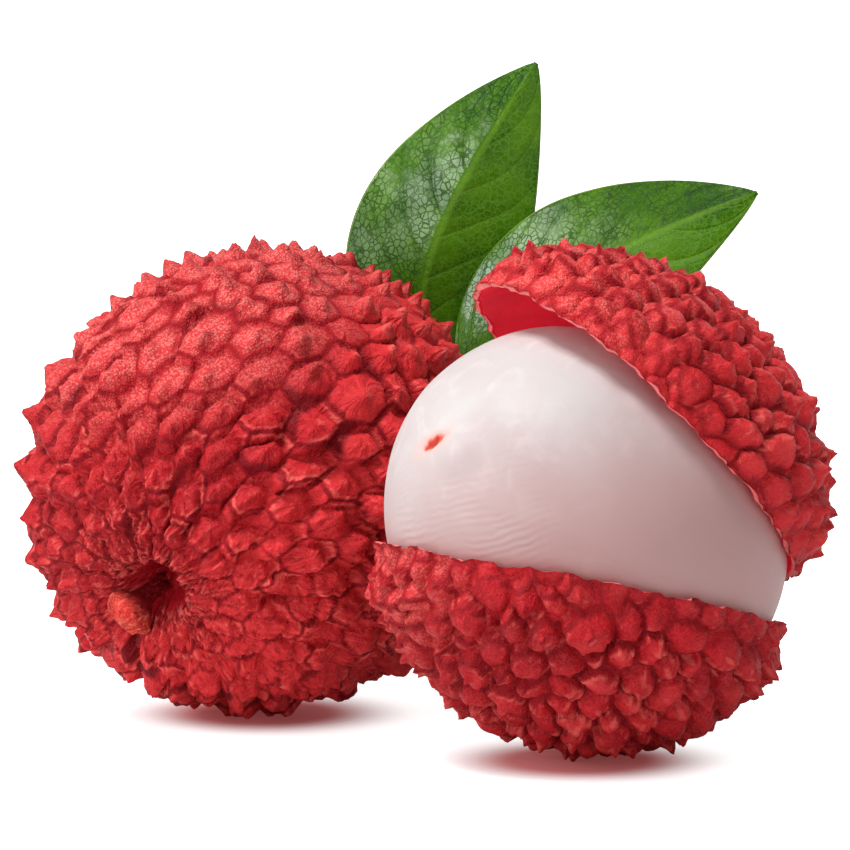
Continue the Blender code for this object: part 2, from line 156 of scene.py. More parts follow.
class Graph:
    """A node tree that is written as formulas."""

    def __init__(self, tree: NodeTree) -> None:
        """Write into a node tree."""
        self.tree = tree

    def node(self, kind: str, **settings: object) -> bpy.types.Node:
        """Add a node.

        Args:
            kind: The node's type.
            **settings: Properties of the node.

        Returns:
            The new node.
        """
        made = self.tree.nodes.new(kind)
        for name, value in settings.items():
            setattr(made, name, value)
        return made

    def feed(self, socket: bpy.types.NodeSocket, value: Operand) -> None:
        """Link a wire to a socket, or set the socket's own value.

        Args:
            socket: The input to feed.
            value: A wire, number, vector or colour.
        """
        if isinstance(value, Wire):
            self.tree.links.new(value.socket, socket)
        elif isinstance(value, (int, float)) and socket.type == "VECTOR":
            socket.default_value = (value, value, value)
        elif socket.type == "RGBA" and isinstance(value, tuple):
            socket.default_value = (*value, 1.0)
        else:
            socket.default_value = value

    def call(self, kind: str, output: str, values: Dict[str, Operand],
             **settings: object) -> Wire:
        """Add a node, feed its named inputs and give one output.

        Args:
            kind: The node's type.
            output: The name of the output to give.
            values: Inputs by name.
            **settings: Properties of the node.

        Returns:
            The wire at that output.
        """
        made = self.node(kind, **settings)
        for name, value in values.items():
            self.feed(enabled_socket(made.inputs, name), value)
        return Wire(self, enabled_socket(made.outputs, output))

    def operate(self, kind: str, operation: str, values: Sequence[Operand]) -> bpy.types.Node:
        """Add a math node and feed its inputs in order.

        Args:
            kind: The node's type.
            operation: What it does.
            values: Its inputs.

        Returns:
            The new node.
        """
        made = self.node(kind, operation=operation)
        for socket, value in zip(made.inputs, values):
            self.feed(socket, value)
        return made

    def combine(self, operation: str, first: Operand, second: Operand) -> Wire:
        """Join two values with a math node, of vectors if either is one.

        Args:
            operation: What the node does.
            first: The first value.
            second: The second value.

        Returns:
            The result.
        """
        if not (is_vector(first) or is_vector(second)):
            return self.math(operation, first, second)
        if operation == "MULTIPLY" and not (is_vector(first) and is_vector(second)):
            vector, factor = (first, second) if is_vector(first) else (second, first)
            made = self.operate("ShaderNodeVectorMath", "SCALE", (vector,))
            self.feed(enabled_socket(made.inputs, "Scale"), factor)
            return Wire(self, made.outputs[0])
        return self.vector_math(operation, first, second)

    def math(self, operation: str, *values: Operand) -> Wire:
        """Add a math node on one to three numbers."""
        return Wire(self, self.operate("ShaderNodeMath", operation, values).outputs[0])

    def vector_math(self, operation: str, *values: Operand, output: str = "Vector") -> Wire:
        """Add a math node on vectors."""
        made = self.operate("ShaderNodeVectorMath", operation, values)
        return Wire(self, enabled_socket(made.outputs, output))

    def length(self, vector: Operand) -> Wire:
        """Length of a vector."""
        return self.vector_math("LENGTH", vector, output="Value")

    def dot(self, first: Operand, second: Operand) -> Wire:
        """Dot product of two vectors."""
        return self.vector_math("DOT_PRODUCT", first, second, output="Value")

    def unit(self, vector: Operand) -> Wire:
        """Vector of length 1."""
        return self.vector_math("NORMALIZE", vector)

    def join(self, x: Operand, y: Operand, z: Operand) -> Wire:
        """Vector from its three parts."""
        return self.call("ShaderNodeCombineXYZ", "Vector", {"X": x, "Y": y, "Z": z})

    def split(self, vector: Wire) -> Tuple[Wire, Wire, Wire]:
        """Parts of a vector: x, y and z."""
        made = self.call("ShaderNodeSeparateXYZ", "X", {"Vector": vector}).socket.node
        return tuple(Wire(self, part) for part in made.outputs)

    def span(self, value: Operand, low: Operand, high: Operand, to_low: Operand = 0.0,
             to_high: Operand = 1.0, smooth: bool = False) -> Wire:
        """Bring a value from one range to another, held at both ends.

        Args:
            value: The value to bring over.
            low: Start of the range it comes from.
            high: End of the range it comes from.
            to_low: Result at low.
            to_high: Result at high.
            smooth: Ease in and out between the ends.

        Returns:
            The result.
        """
        return self.call("ShaderNodeMapRange", "Result", {
            "Value": value, "From Min": low, "From Max": high,
            "To Min": to_low, "To Max": to_high,
        }, interpolation_type="SMOOTHSTEP" if smooth else "LINEAR", clamp=True)

    def mix(self, kind: str, factor: Operand, first: Operand, second: Operand) -> Wire:
        """Add a mix node for one kind of value."""
        return self.call("ShaderNodeMix", "Result", {"Factor": factor, "A": first, "B": second},
                         data_type=kind)

    def blend(self, factor: Operand, first: Operand, second: Operand) -> Wire:
        """Blend two numbers or two vectors."""
        kind = "VECTOR" if is_vector(first) or is_vector(second) else "FLOAT"
        return self.mix(kind, factor, first, second)

    def tint(self, factor: Operand, first: Operand, second: Operand) -> Wire:
        """Blend two colours."""
        return self.mix("RGBA", factor, first, second)

    def paint(self, ground: Operand, *coats: Tuple[Operand, Operand]) -> Wire:
        """Lay colours over a ground, one after the other.

        Args:
            ground: The colour underneath.
            *coats: Pairs of how much a coat covers and its colour.

        Returns:
            The colour on top.
        """
        for cover, colour in coats:
            ground = self.tint(cover, ground, colour)
        return ground

    def noise(self, vector: Operand, scale: Operand, detail: float = 2.0,
              roughness: float = 0.5, twist: float = 0.0, output: str = "Fac") -> Wire:
        """Soft noise, mostly from 0 to 1; the output Color gives three of them."""
        return self.call("ShaderNodeTexNoise", output, {
            "Vector": vector, "Scale": scale, "Detail": detail, "Roughness": roughness,
            "Distortion": twist}, noise_dimensions="3D")

    def warp(self, vector: Operand, scale: float) -> Wire:
        """Vector of soft noise round 0, to bend a pattern with."""
        return self.noise(vector, scale, detail=1.0, output="Color") - NOISE_MIDDLE

    def folds(self, vector: Operand, scale: float, sharpness: float, floor: float,
              **shape: float) -> Wire:
        """Crooked ridges of height 1, where a noise crosses its middle."""
        wave = self.noise(vector, scale, **shape)
        return self.math("MAXIMUM", 1.0 - self.math("ABSOLUTE", wave - 0.5) * sharpness, floor)

    def cells(self, vector: Operand, scale: Operand, measure: Cells = Cells.TO_MIDDLE,
              **settings: object) -> Wire:
        """Distance that is measured in a pattern of scattered cells."""
        return self.call("ShaderNodeTexVoronoi", "Distance", {"Vector": vector, "Scale": scale},
                         voronoi_dimensions="3D", feature=measure.value, **settings)


class Group(Graph):
    """A node group with named inputs, built once and used often."""

    def __init__(self, name: str, kind: str) -> None:
        """Start an empty group.

        Args:
            name: The group's name.
            kind: The type of its node tree.
        """
        super().__init__(bpy.data.node_groups.new(name, kind))
        self.source = self.node("NodeGroupInput")
        self.target = self.node("NodeGroupOutput")
        self.identifiers: Dict[str, str] = {}

    def add_input(self, name: str, default: object = None, kind: str = "Float") -> Wire:
        """Add a named input.

        Args:
            name: The input's name.
            default: The value it starts with.
            kind: The kind of its socket.

        Returns:
            The wire that carries it.
        """
        item = self.tree.interface.new_socket(name, in_out="INPUT",
                                              socket_type=f"NodeSocket{kind}")
        if default is not None:
            item.default_value = default
        self.identifiers[name] = item.identifier
        return Wire(self, enabled_socket(self.source.outputs, name))

    def add_inputs(self, **defaults: float) -> Tuple[Wire, ...]:
        """Add numbers as inputs; an underscore in a name stands for a space."""
        return tuple(self.add_input(name.replace("_", " "), default)
                     for name, default in defaults.items())

    def add_output(self, name: str, kind: str, value: Wire) -> None:
        """Add a named output."""
        self.tree.interface.new_socket(name, in_out="OUTPUT", socket_type=f"NodeSocket{kind}")
        self.feed(self.target.inputs[name], value)


class GeometryTree(Group):
    """A Geometry Nodes tree with named inputs, which turns a base mesh into a piece."""

    def __init__(self, name: str) -> None:
        """Start an empty tree that takes a geometry."""
        super().__init__(name, "GeometryNodeTree")
        self.geometry = self.add_input("Geometry", kind="Geometry")

    @property
    def place(self) -> Wire:
        """Place of each point."""
        return self.call("GeometryNodeInputPosition", "Position", {})

    def read(self, name: str, vector: bool = False) -> Wire:
        """Read a named attribute."""
        return self.call("GeometryNodeInputNamedAttribute", "Attribute", {"Name": name},
                         data_type="FLOAT_VECTOR" if vector else "FLOAT")

    def store(self, geometry: Wire, values: Dict[str, Wire]) -> Wire:
        """Keep values on each point.

        Args:
            geometry: The geometry that they are kept on.
            values: The values by name.

        Returns:
            The geometry with its values.
        """
        for name, value in values.items():
            geometry = self.call("GeometryNodeStoreNamedAttribute", "Geometry", {
                "Geometry": geometry, "Name": name, "Value": value,
            }, data_type="FLOAT_VECTOR" if is_vector(value) else "FLOAT", domain="POINT")
        return geometry

    def move(self, geometry: Wire, place: Wire) -> Wire:
        """Put each point at a place."""
        return self.call("GeometryNodeSetPosition", "Geometry",
                         {"Geometry": geometry, "Position": place})

    def end(self, geometry: Wire) -> None:
        """Close the tree with real meshes and the finish that it is given."""
        real = self.call("GeometryNodeRealizeInstances", "Geometry", {"Geometry": geometry})
        self.add_output("Geometry", "Geometry", self.call("GeometryNodeSetMaterial", "Geometry", {
            "Geometry": real, "Material": self.add_input("Finish", kind="Material")}))

    def grow(self, base: Object, sizes: Dict[str, object], finish: Material) -> Object:
        """Run the tree on an object and keep the result as a plain mesh.

        Args:
            base: The object that holds the base geometry; it is used up.
            sizes: Values of the named inputs.
            finish: The material of the result.

        Returns:
            A new object of the same name, with a plain mesh and no modifier.
        """
        modifier = base.modifiers.new(self.tree.name, "NODES")
        modifier.node_group = self.tree
        for name, value in {**sizes, "Finish": finish}.items():
            modifier[self.identifiers[name]] = value
        depsgraph = bpy.context.evaluated_depsgraph_get()
        mesh = bpy.data.meshes.new_from_object(base.evaluated_get(depsgraph))
        name = base.name
        bpy.data.objects.remove(base, do_unlink=True)
        mesh.name = name
        mesh.shade_smooth()
        return link_object(name, mesh)


# --- Plain meshes ---

def link_object(name: str, data: bpy.types.ID) -> Object:
    """Make an object in the scene.

    Args:
        name: The object's name.
        data: Its mesh, light or camera.

    Returns:
        The new object.
    """
    made = bpy.data.objects.new(name, data)
    bpy.context.scene.collection.objects.link(made)
    return made


def keep(mesh: bpy.types.Mesh, name: str, values: Array) -> None:
    """Keep a number or vector on each vertex of a mesh.

    Args:
        mesh: The mesh.
        name: The attribute's name.
        values: One number or one row for each vertex.
    """
    vector = values.ndim == 2
    layer = mesh.attributes.new(name, "FLOAT_VECTOR" if vector else "FLOAT", "POINT")
    layer.data.foreach_set("vector" if vector else "value",
                           np.asarray(values, dtype=np.float32).ravel())


def new_object(name: str, points: Array, faces: Array,
               attributes: Optional[Dict[str, Array]] = None) -> Object:
    """Make a mesh object from arrays.

    Args:
        name: The object's name.
        points: Vertex places, one row each.
        faces: Corner indices, one row for each four-sided face.
        attributes: Values on each vertex by name, numbers or vectors.

    Returns:
        The new object, linked to the scene.
    """
    mesh = bpy.data.meshes.new(name)
    mesh.vertices.add(len(points))
    mesh.vertices.foreach_set("co", np.asarray(points, dtype=np.float32).ravel())
    mesh.loops.add(faces.size)
    mesh.loops.foreach_set("vertex_index", np.asarray(faces, dtype=np.int32).ravel())
    mesh.polygons.add(len(faces))
    mesh.polygons.foreach_set("loop_start", np.arange(0, faces.size, 4, dtype=np.int32))
    mesh.update(calc_edges=True)
    for label, values in (attributes or {}).items():
        keep(mesh, label, values)
    mesh.validate()
    return link_object(name, mesh)


def vertex_places(mesh: bpy.types.Mesh) -> Array:
    """Read the places of a mesh's vertices.

    Args:
        mesh: The mesh.

    Returns:
        The places, one row each.
    """
    places = np.empty(len(mesh.vertices) * 3, dtype=np.float32)
    mesh.vertices.foreach_get("co", places)
    return places.reshape(-1, 3)


def unit_rows(rows: Array) -> Array:
    """Rows brought to length 1."""
    return rows / np.linalg.norm(rows, axis=-1, keepdims=True)


def grid_faces(index: Array) -> Array:
    """Four-sided faces between the neighbours of a grid of vertex indices."""
    return np.stack([index[:-1, :-1], index[1:, :-1], index[1:, 1:], index[:-1, 1:]],
                    axis=-1).reshape(-1, 4)


def band_faces(first: Array, second: Array) -> Array:
    """Four-sided faces between two closed loops of vertex indices."""
    return np.stack([first, np.roll(first, -1), np.roll(second, -1), second], axis=1)


def ball_grid(steps: int) -> Tuple[Array, Array]:
    """Cover a unit ball with even four-sided faces, from the sides of a cube.

    Args:
        steps: Faces along each edge of the cube.

    Returns:
        Unit directions and faces.
    """
    line = np.tan(np.linspace(-1.0, 1.0, steps + 1) * math.pi / 4.0)
    across, along = np.meshgrid(line, line, indexing="ij")
    sides = []
    for axis in range(3):
        for sign in (1.0, -1.0):
            parts = [None, None, None]
            parts[axis] = np.full_like(across, sign)
            parts[(axis + 1) % 3] = across * sign
            parts[(axis + 2) % 3] = along
            sides.append(np.stack(parts, axis=-1).reshape(-1, 3))
    raw = np.concatenate(sides)
    _, kept, merged = np.unique(np.round(raw, 6), axis=0, return_index=True,
                                return_inverse=True)
    index = merged.reshape(len(sides), steps + 1, steps + 1)
    return unit_rows(raw[kept]), np.concatenate([grid_faces(side) for side in index])


def disc_grid(steps: int) -> Tuple[Array, Array, Array]:
    """Lay an even grid over a disc.

    Args:
        steps: Faces along each side of the square that is drawn out to the disc.

    Returns:
        Distance from the middle (0 to 1), angle round it and the grid of indices.
    """
    line = np.linspace(-1.0, 1.0, steps + 1)
    u, v = np.meshgrid(line, line, indexing="ij")
    reach = np.maximum(np.abs(u), np.abs(v))
    small = np.where(reach > 0.0, reach, 1.0)
    wide = np.abs(u) >= np.abs(v)
    eighth = math.pi / 4.0
    turn = np.where(wide, eighth * v / small, 2.0 * eighth - eighth * u / small)
    turn = np.where(wide & (u < 0.0), 4.0 * eighth - eighth * v / small, turn)
    turn = np.where(~wide & (v < 0.0), 6.0 * eighth + eighth * u / small, turn)
    index = np.arange((steps + 1) ** 2).reshape(steps + 1, steps + 1)
    return reach.ravel(), turn.ravel(), index


def border_loop(index: Array) -> Array:
    """Indices round the border of a grid, in order."""
    return np.concatenate([index[:-1, 0], index[-1, :-1], index[:0:-1, -1], index[0, :0:-1]])


def smooth_step(value: Array, low: float, high: float) -> Array:
    """Ease from 0 at low to 1 at high."""
    share = np.clip((value - low) / (high - low), 0.0, 1.0)
    return share * share * (3.0 - 2.0 * share)


def towards(directions: Array, aim: Vector, low: float, high: float) -> Array:
    """Ease from 0 to 1 as directions turn towards an aim."""
    return smooth_step(directions @ np.array(aim.normalized()), low, high)


def turn_faces_outward(obj: Object) -> None:
    """Turn a closed mesh right side out if its volume comes out negative.

    Args:
        obj: The object with the mesh.
    """
    mesh = obj.data
    mesh.calc_loop_triangles()
    corners = np.empty(len(mesh.loop_triangles) * 3, dtype=np.int32)
    mesh.loop_triangles.foreach_get("vertices", corners)
    triangles = vertex_places(mesh)[corners.reshape(-1, 3)].astype(float)
    if (triangles[:, 0] * np.cross(triangles[:, 1], triangles[:, 2])).sum() < 0.0:
        mesh.flip_normals()


def join_meshes(first: Object, second: Object) -> None:
    """Move the second object's mesh into the first.

    Args:
        first: The object that keeps both.
        second: The object that is used up.
    """
    joined = bmesh.new()
    joined.from_mesh(first.data)
    joined.from_mesh(second.data)
    joined.to_mesh(first.data)
    joined.free()
    bpy.data.objects.remove(second, do_unlink=True)


def keep_on_floor(obj: Object) -> None:
    """Press whatever reaches under the floor flat on it.

    Args:
        obj: The piece, in its place.
    """
    places = vertex_places(obj.data)
    places[:, 2] = np.maximum(places[:, 2], 0.0)
    obj.data.vertices.foreach_set("co", places.ravel())
    obj.data.update()


def hand_over(obj: Object, finish_slot: Slot, *nodes: str) -> None:
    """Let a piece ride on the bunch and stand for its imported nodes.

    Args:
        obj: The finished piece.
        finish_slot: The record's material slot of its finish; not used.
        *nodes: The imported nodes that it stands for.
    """
    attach(obj, "root")
    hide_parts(*nodes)


# --- The bunch as packed ---

@dataclass(frozen=True)
class Egg:
    """Egg shape: round across, longer towards its stem end, which points along +Z."""

    half_length: float
    half_width: float
    blossom_share: float = 0.94

    def points(self, directions: Array, lift: float) -> Array:
        """Find points along unit directions, raised off the egg.

        Args:
            directions: Unit directions, one row each.
            lift: Height over the egg.

        Returns:
            The points in the egg's own frame.
        """
        length = np.where(directions[:, 2] > 0.0, self.half_length,
                          self.half_length * self.blossom_share)
        sizes = np.stack([np.full(len(directions), self.half_width)] * 2 + [length], axis=1)
        return directions * sizes + unit_rows(directions / sizes) * lift

    def reach(self, axis: Vector, aim: Vector) -> float:
        """Find how far the egg reaches in a direction.

        Args:
            axis: Where its stem end points.
            aim: The direction.

        Returns:
            The distance from its middle to its furthest tangent plane.
        """
        share = axis.dot(aim)
        length = self.half_length * (1.0 if share > 0.0 else self.blossom_share)
        return math.hypot(length * share, self.half_width * math.sqrt(1.0 - share ** 2))

    def sizes(self) -> Dict[str, float]:
        """Sizes as a rind tree's inputs."""
        return {"Half Length": self.half_length, "Half Width": self.half_width,
                "Blossom Share": self.blossom_share}


@dataclass(frozen=True)
class Stance:
    """Place and tilt of a piece in the bunch."""

    middle: Vector
    axis: Vector

    @property
    def turn(self) -> Quaternion:
        """Rotation that brings +Z to the piece's axis the short way."""
        return UP.rotation_difference(self.axis)

    @property
    def matrix(self) -> Matrix:
        """Matrix from the piece's own frame to the bunch."""
        return Matrix.Translation(self.middle) @ self.turn.to_matrix().to_4x4()

    def local(self, direction: Vector) -> Vector:
        """A direction of the bunch in the piece's own frame."""
        return self.turn.inverted() @ direction

    def outward(self, directions: Array) -> Array:
        """Directions of the piece's own frame in the bunch."""
        return directions @ np.array(self.turn.to_matrix()).T

    def settle(self, obj: Object) -> None:
        """Put a piece's mesh in its place, with its object at the origin."""
        obj.data.transform(self.matrix)
        keep_on_floor(obj)


@dataclass(frozen=True)
class Layout:
    """Sizes of the bunch that several pieces share, and where it stands."""

    whole_egg: Egg = Egg(18.5 * MM, 16.35 * MM)
    flesh_egg: Egg = Egg(16.0 * MM, 13.6 * MM)
    whole_tubercle: float = 1.1 * MM
    dip_depth: float = 1.8 * MM
    whole_axis: Vector = Vector((-0.45, -0.81, -0.37)).normalized()
    opened_axis: Vector = Vector((-0.62, -0.47, 0.63)).normalized()
    flap_axis: Vector = Vector((-0.66, -0.33, 0.67)).normalized()
    whole_place: Vector = Vector((-11.75, 10.6, 0.0)) * MM
    opened_place: Vector = Vector((11.65, -10.7, 0.0)) * MM
    flap_lift: Vector = Vector((0.70, 1.40, 3.30)) * MM
    foot_flatten: float = 0.3 * MM

    def opened_middle(self) -> Vector:
        """Find the middle of the opened fruit's flesh from its packed box.

        Returns:
            The middle in the bunch.
        """
        low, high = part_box("flesh")
        middle = Vector()
        for index in range(3):
            step = Vector()
            step[index] = 1.0
            from_high = high[index] - self.flesh_egg.reach(self.opened_axis, step)
            from_low = low[index] + self.flesh_egg.reach(self.opened_axis, -step)
            middle[index] = (from_high + from_low) / 2.0
        return middle

    def shift(self) -> Vector:
        """Shift on the floor from the layout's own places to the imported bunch."""
        middle = self.opened_middle() - self.opened_place
        return Vector((middle.x, middle.y, 0.0))

    def opened(self) -> Stance:
        """Where the opened fruit sits."""
        return Stance(self.opened_middle(), self.opened_axis)

    def flap(self) -> Stance:
        """Where the lifted piece of rind sits."""
        return Stance(self.opened_middle() + self.flap_lift, self.flap_axis)

    def whole(self) -> Stance:
        """Where the whole fruit sits."""
        height = (self.whole_egg.reach(self.whole_axis, -UP) + self.whole_tubercle
                  - self.foot_flatten)
        return Stance(self.whole_place + self.shift() + UP * height, self.whole_axis)


# --- Rind ---

class RindTree(GeometryTree):
    """Grows the tubercles of a lychee's rind on a ball or shell of unit directions.

    Tubercle middles lie on a spiral lattice, each a little astray. Their hull becomes its
    dual mesh, whose faces are the cells and whose edges are the grooves. The height at a
    point follows from its distance to the nearest groove and to its cell's middle.
    """

    PLATE_TIP_RADIUS = 0.76 * MM
    SPIRE_BULGE = 0.80
    LUMP_SCALE = 2.4

    def __init__(self) -> None:
        """Build the tree."""
        super().__init__("tubercled_rind")
        self.half_length, self.half_width = self.add_inputs(Half_Length=0.0, Half_Width=0.0)
        self.blossom_share, self.tubercle, lift, inner_lift = self.add_inputs(
            Blossom_Share=0.94, Tubercle_Height=0.0, Groove_Lift=0.0, Inner_Lift=0.0)
        direction = self.unit(self.place)
        felt = self.felt_direction(direction)
        grooves = self.cell_mesh()
        middle = self.call("GeometryNodeSampleNearestSurface", "Value", {
            "Mesh": grooves, "Value": self.read("middle", vector=True),
            "Sample Position": felt}, data_type="FLOAT_VECTOR")
        groove_distance = self.call("GeometryNodeProximity", "Distance", {
            "Geometry": grooves, "Sample Position": felt},
            target_element="EDGES") * self.half_width * self.crowding
        height, marks = self.relief(direction, felt, middle, groove_distance)
        raised = (lift - inner_lift + height) * self.rim_taper() - self.hollow(direction)
        outer = self.egg_point(direction, inner_lift + raised)
        inner = self.egg_point(direction, inner_lift)
        around = self.call("GeometryNodeBlurAttribute", "Value", {
            "Value": raised, "Iterations": 2, "Weight": 1.0}, data_type="FLOAT")
        self.end(self.store(
            self.move(self.geometry, self.blend(self.read("wall"), outer, inner)),
            # The finish paints highlights where sharp is high and shade where it is low; sharp is
            # how far the skin stands over its blurred neighbours.
            {**marks, "well": self.well, "sharp": (raised - around) / MM,
             "spoke": (felt - middle) * (self.half_width / MM)}))

    def felt_direction(self, direction: Wire) -> Wire:
        """Wobble a direction, which makes the grooves wander, and draw cells to the stem.

        Args:
            direction: The direction of the point.

        Returns:
            The direction at which the cells are read.
        """
        amount, gather, reach = self.add_inputs(
            Groove_Wander=0.4 * MM, Gather=1.0, Gather_Angle=1.4)
        wobble = (self.warp(direction, 9.0) + self.warp(direction, 38.0) * 0.35
                  ) * (amount / self.half_width * 2.0)
        felt = self.unit(direction + wobble)
        angle = self.stem_angle(felt)
        loose = reach * self.math("POWER", angle / reach, 1.0 / gather)
        loose = self.blend(self.math("LESS_THAN", angle, reach), angle, loose)
        self.crowding = self.math("MINIMUM", self.math("SINE", angle) / self.math(
            "MAXIMUM", self.math("SINE", loose), 0.01), 1.0)
        return self.spoke(felt) * self.math("SINE", loose) + self.join(
            0.0, 0.0, self.math("COSINE", loose))

    def cell_mesh(self) -> Wire:
        """Make the mesh whose faces are the cells round the tubercle middles.

        Returns:
            The mesh, on the unit ball.
        """
        count = self.add_input("Count", 460, kind="Int")
        seed = self.add_input("Seed", 1, kind="Int")
        scatter = self.add_input("Scatter", 0.55)
        lattice = self.call("GeometryNodePoints", "Points", {"Count": count})
        index = self.call("GeometryNodeInputIndex", "Index", {})
        height = 1.0 - (index + 0.5) * 2.0 / count
        ring = self.math("SQRT", 1.0 - height * height)
        turn = index * GOLDEN_ANGLE
        spiral = self.join(ring * self.math("COSINE", turn), ring * self.math("SINE", turn),
                           height)
        shift = self.call("FunctionNodeRandomValue", "Value", {
            "Min": (-1.0, -1.0, -1.0), "Max": (1.0, 1.0, 1.0), "Seed": seed,
        }, data_type="FLOAT_VECTOR") * (scatter / self.math("SQRT", count))
        hull = self.call("GeometryNodeConvexHull", "Convex Hull", {
            "Geometry": self.move(lattice, self.unit(spiral + shift))})
        dual = self.call("GeometryNodeDualMesh", "Dual Mesh", {
            "Mesh": self.store(hull, {"middle": self.place})})
        return self.move(dual, self.unit(self.place))

    def egg_point(self, direction: Wire, lift: Operand) -> Wire:
        """Find the point of the egg along a direction, raised off it.

        Args:
            direction: The direction.
            lift: Height over the egg.

        Returns:
            The point.
        """
        length = self.blend(self.math("GREATER_THAN", self.split(direction)[2], 0.0),
                            self.half_length * self.blossom_share, self.half_length)
        sizes = self.join(self.half_width, self.half_width, length)
        return direction * sizes + self.unit(direction / sizes) * lift

    def rim_taper(self) -> Wire:
        """Share of the full thickness, which is less near a torn rim."""
        depth, share = self.add_inputs(Rim_Taper_Depth=4.0 * MM, Rim_Taper_Share=1.0)
        return self.span(self.read("rim_depth"), 0.0, depth, share, 1.0, smooth=True)

    def hollow(self, direction: Wire) -> Wire:
        """Sink the skin in the dip and the well round the stem.

        Args:
            direction: The direction of the point.

        Returns:
            How far the skin sinks there.
        """
        depth, width, well_depth, well_radius = self.add_inputs(
            Dip_Depth=0.0, Dip_Angle=0.25, Well_Depth=0.0, Well_Radius=1.9 * MM)
        angle = self.stem_angle(direction)
        share = angle / width
        dip = self.math("EXPONENT", -(share * share))
        ragged = self.noise(direction, 20.0, detail=2.0) - 0.5
        radius = (angle * self.half_width + ragged * (1.9 * MM)
                  + self.wrinkles(direction) * (0.22 * MM))
        # This mask sinks the stem well and also marks where the finish paints shade in it.
        self.well = self.span(radius, well_radius * 1.25, well_radius * 0.62, smooth=True)
        return depth * dip + well_depth * self.well

    def relief(self, direction: Wire, felt: Wire, middle: Wire,
               groove: Wire) -> Tuple[Wire, Dict[str, Wire]]:
        """Height of the skin over its grooves, and marks for its finish.

        Args:
            direction: Direction of the point.
            felt: The same with the wobble of the grooves.
            middle: Direction of the middle of the point's cell.
            groove: Distance to the nearest groove.

        Returns:
            The height in metres, and values to keep on each point.
        """
        tilt, lump, swell, crease, pleat, wrinkle, edge_width = self.add_inputs(
            Tilt=0.68, Lump_Height=0.7 * MM, Swell_Height=0.14 * MM, Crease_Height=0.07 * MM,
            Pleat_Height=0.0, Wrinkle_Height=0.0, Edge_Width=0.22 * MM)
        plates, spires, scales = (self.read(name) for name in ("plates", "spires", "scales"))
        calm = 1.0 - self.read("calm")
        offset = felt - middle
        steady = self.vector_math("SNAP", middle, (0.004, 0.004, 0.004))
        chance = self.call("ShaderNodeTexWhiteNoise", "Color", {"Vector": steady},
                           noise_dimensions="3D")
        stray = chance - NOISE_MIDDLE
        _, _, chance_z = self.split(chance)
        away = self.length(offset - stray * (0.9 * MM / self.half_width)
                           ) * self.half_width * self.crowding
        place = direction * self.half_width

        edge = self.span(groove, 0.0, edge_width, smooth=True)
        lean = self.dot(offset, stray) * self.half_width / MM
        lean = lean * self.span(plates, 0.0, 1.0, 1.0, 0.30) * self.span(
            spires, 0.0, 1.0, 1.0, 0.55)
        shape = (self.tubercle_shape(groove, away, chance, edge)
                 + lean * edge * tilt
                 + self.math("MAXIMUM", self.downhill(offset, middle), -0.8)
                 * edge * scales * 0.10)
        swells = self.noise(place + chance * 0.05, 620.0, detail=1.0) - 0.5
        folds = self.folds(place, 1300.0, 4.0, -0.5, detail=2.0, roughness=0.6, twist=0.6)
        lumps = self.noise(direction, self.LUMP_SCALE, detail=2.0) - 0.5
        height = (shape * self.tubercle * calm
                  + swells * edge * swell * 2.0
                  + folds * crease * edge
                  + lumps * lump + plates * (0.25 * MM)
                  + self.crumple(place) * (scales * 0.5 + 0.45) * calm
                  * self.span(plates, 0.0, 1.0, 1.0, 0.4))
        height = (height + self.pleats(direction) * pleat
                  + self.wrinkles(direction) * wrinkle
                  * (scales + spires * 0.4 + self.read("calm") * 1.5))
        return height, {"groove": groove / MM, "height": shape + scales * 0.3,
                        "tip": away / MM, "chance": chance_z}

    def tubercle_shape(self, groove: Wire, away: Wire, chance: Wire, edge: Wire) -> Wire:
        """Shape one tubercle: a step out of its groove, a flank and a tip.

        Args:
            groove: Distance to the nearest groove.
            away: Distance to the tubercle's own middle.
            chance: Three random shares that are the same all over the tubercle.
            edge: How far the point is out of its groove, from 0 to 1.

        Returns:
            The height as a share of the full tubercle.
        """
        edge_share, flank_share, tip_share, bulge, tip_radius, reach = self.add_inputs(
            Edge_Share=0.13, Flank_Share=0.62, Tip_Share=0.24, Bulge=1.05,
            Tip_Radius=0.5 * MM, Roof_Reach=1.55 * MM)
        plates, spires, scales = (self.read(name) for name in ("plates", "spires", "scales"))
        chance_x, chance_y, _ = self.split(chance)
        roof = self.math("MINIMUM", groove / reach, 1.0)
        flank = 1.0 - self.math("POWER", 1.0 - roof,
                                self.blend(spires, bulge, self.SPIRE_BULGE))
        radius = self.blend(plates, tip_radius, self.PLATE_TIP_RADIUS) * (0.75 + chance_x * 0.5)
        tip = self.math("POWER", self.math("MAXIMUM", 1.0 - away / radius, 0.0), 1.1)
        edge_part = self.blend(plates, edge_share, 0.10)
        flank_part, tip_part = (
            self.blend(spires, self.blend(scales, self.blend(plates, share, plate), scaly), spire)
            for share, plate, scaly, spire in ((flank_share, 0.16, 0.40, 1.0),
                                               (tip_share, 0.74, 0.10, 0.40)))
        return (edge * edge_part + flank * flank_part * (0.75 + chance_y * 0.5)
                + tip * tip_part)

    def downhill(self, offset: Wire, middle: Wire) -> Wire:
        """How far a point lies from its cell's middle on the side away from the stem."""
        from_stem = self.unit(middle * self.split(middle)[2] - (0.0, 0.0, 1.0))
        return self.dot(offset, from_stem) * self.half_width / MM

    def crumple(self, place: Wire) -> Wire:
        """Height of small sharp facets, as of crumpled leather, in metres."""
        size, height = self.add_inputs(Crumple_Size=1.6 * MM, Crumple_Height=0.65 * MM)
        return (self.cells(place + self.warp(place, 500.0) * (0.9 * MM), 1.0 / size,
                           distance="MANHATTAN") * 0.72 - 0.45) * height

    def stem_angle(self, direction: Wire) -> Wire:
        """Angle between a direction and the stem's."""
        return self.math("ARCCOSINE", self.split(direction)[2])

    def spoke(self, direction: Wire) -> Wire:
        """Unit direction straight out from the stem's line."""
        return self.unit(direction * (1.0, 1.0, 0.0))

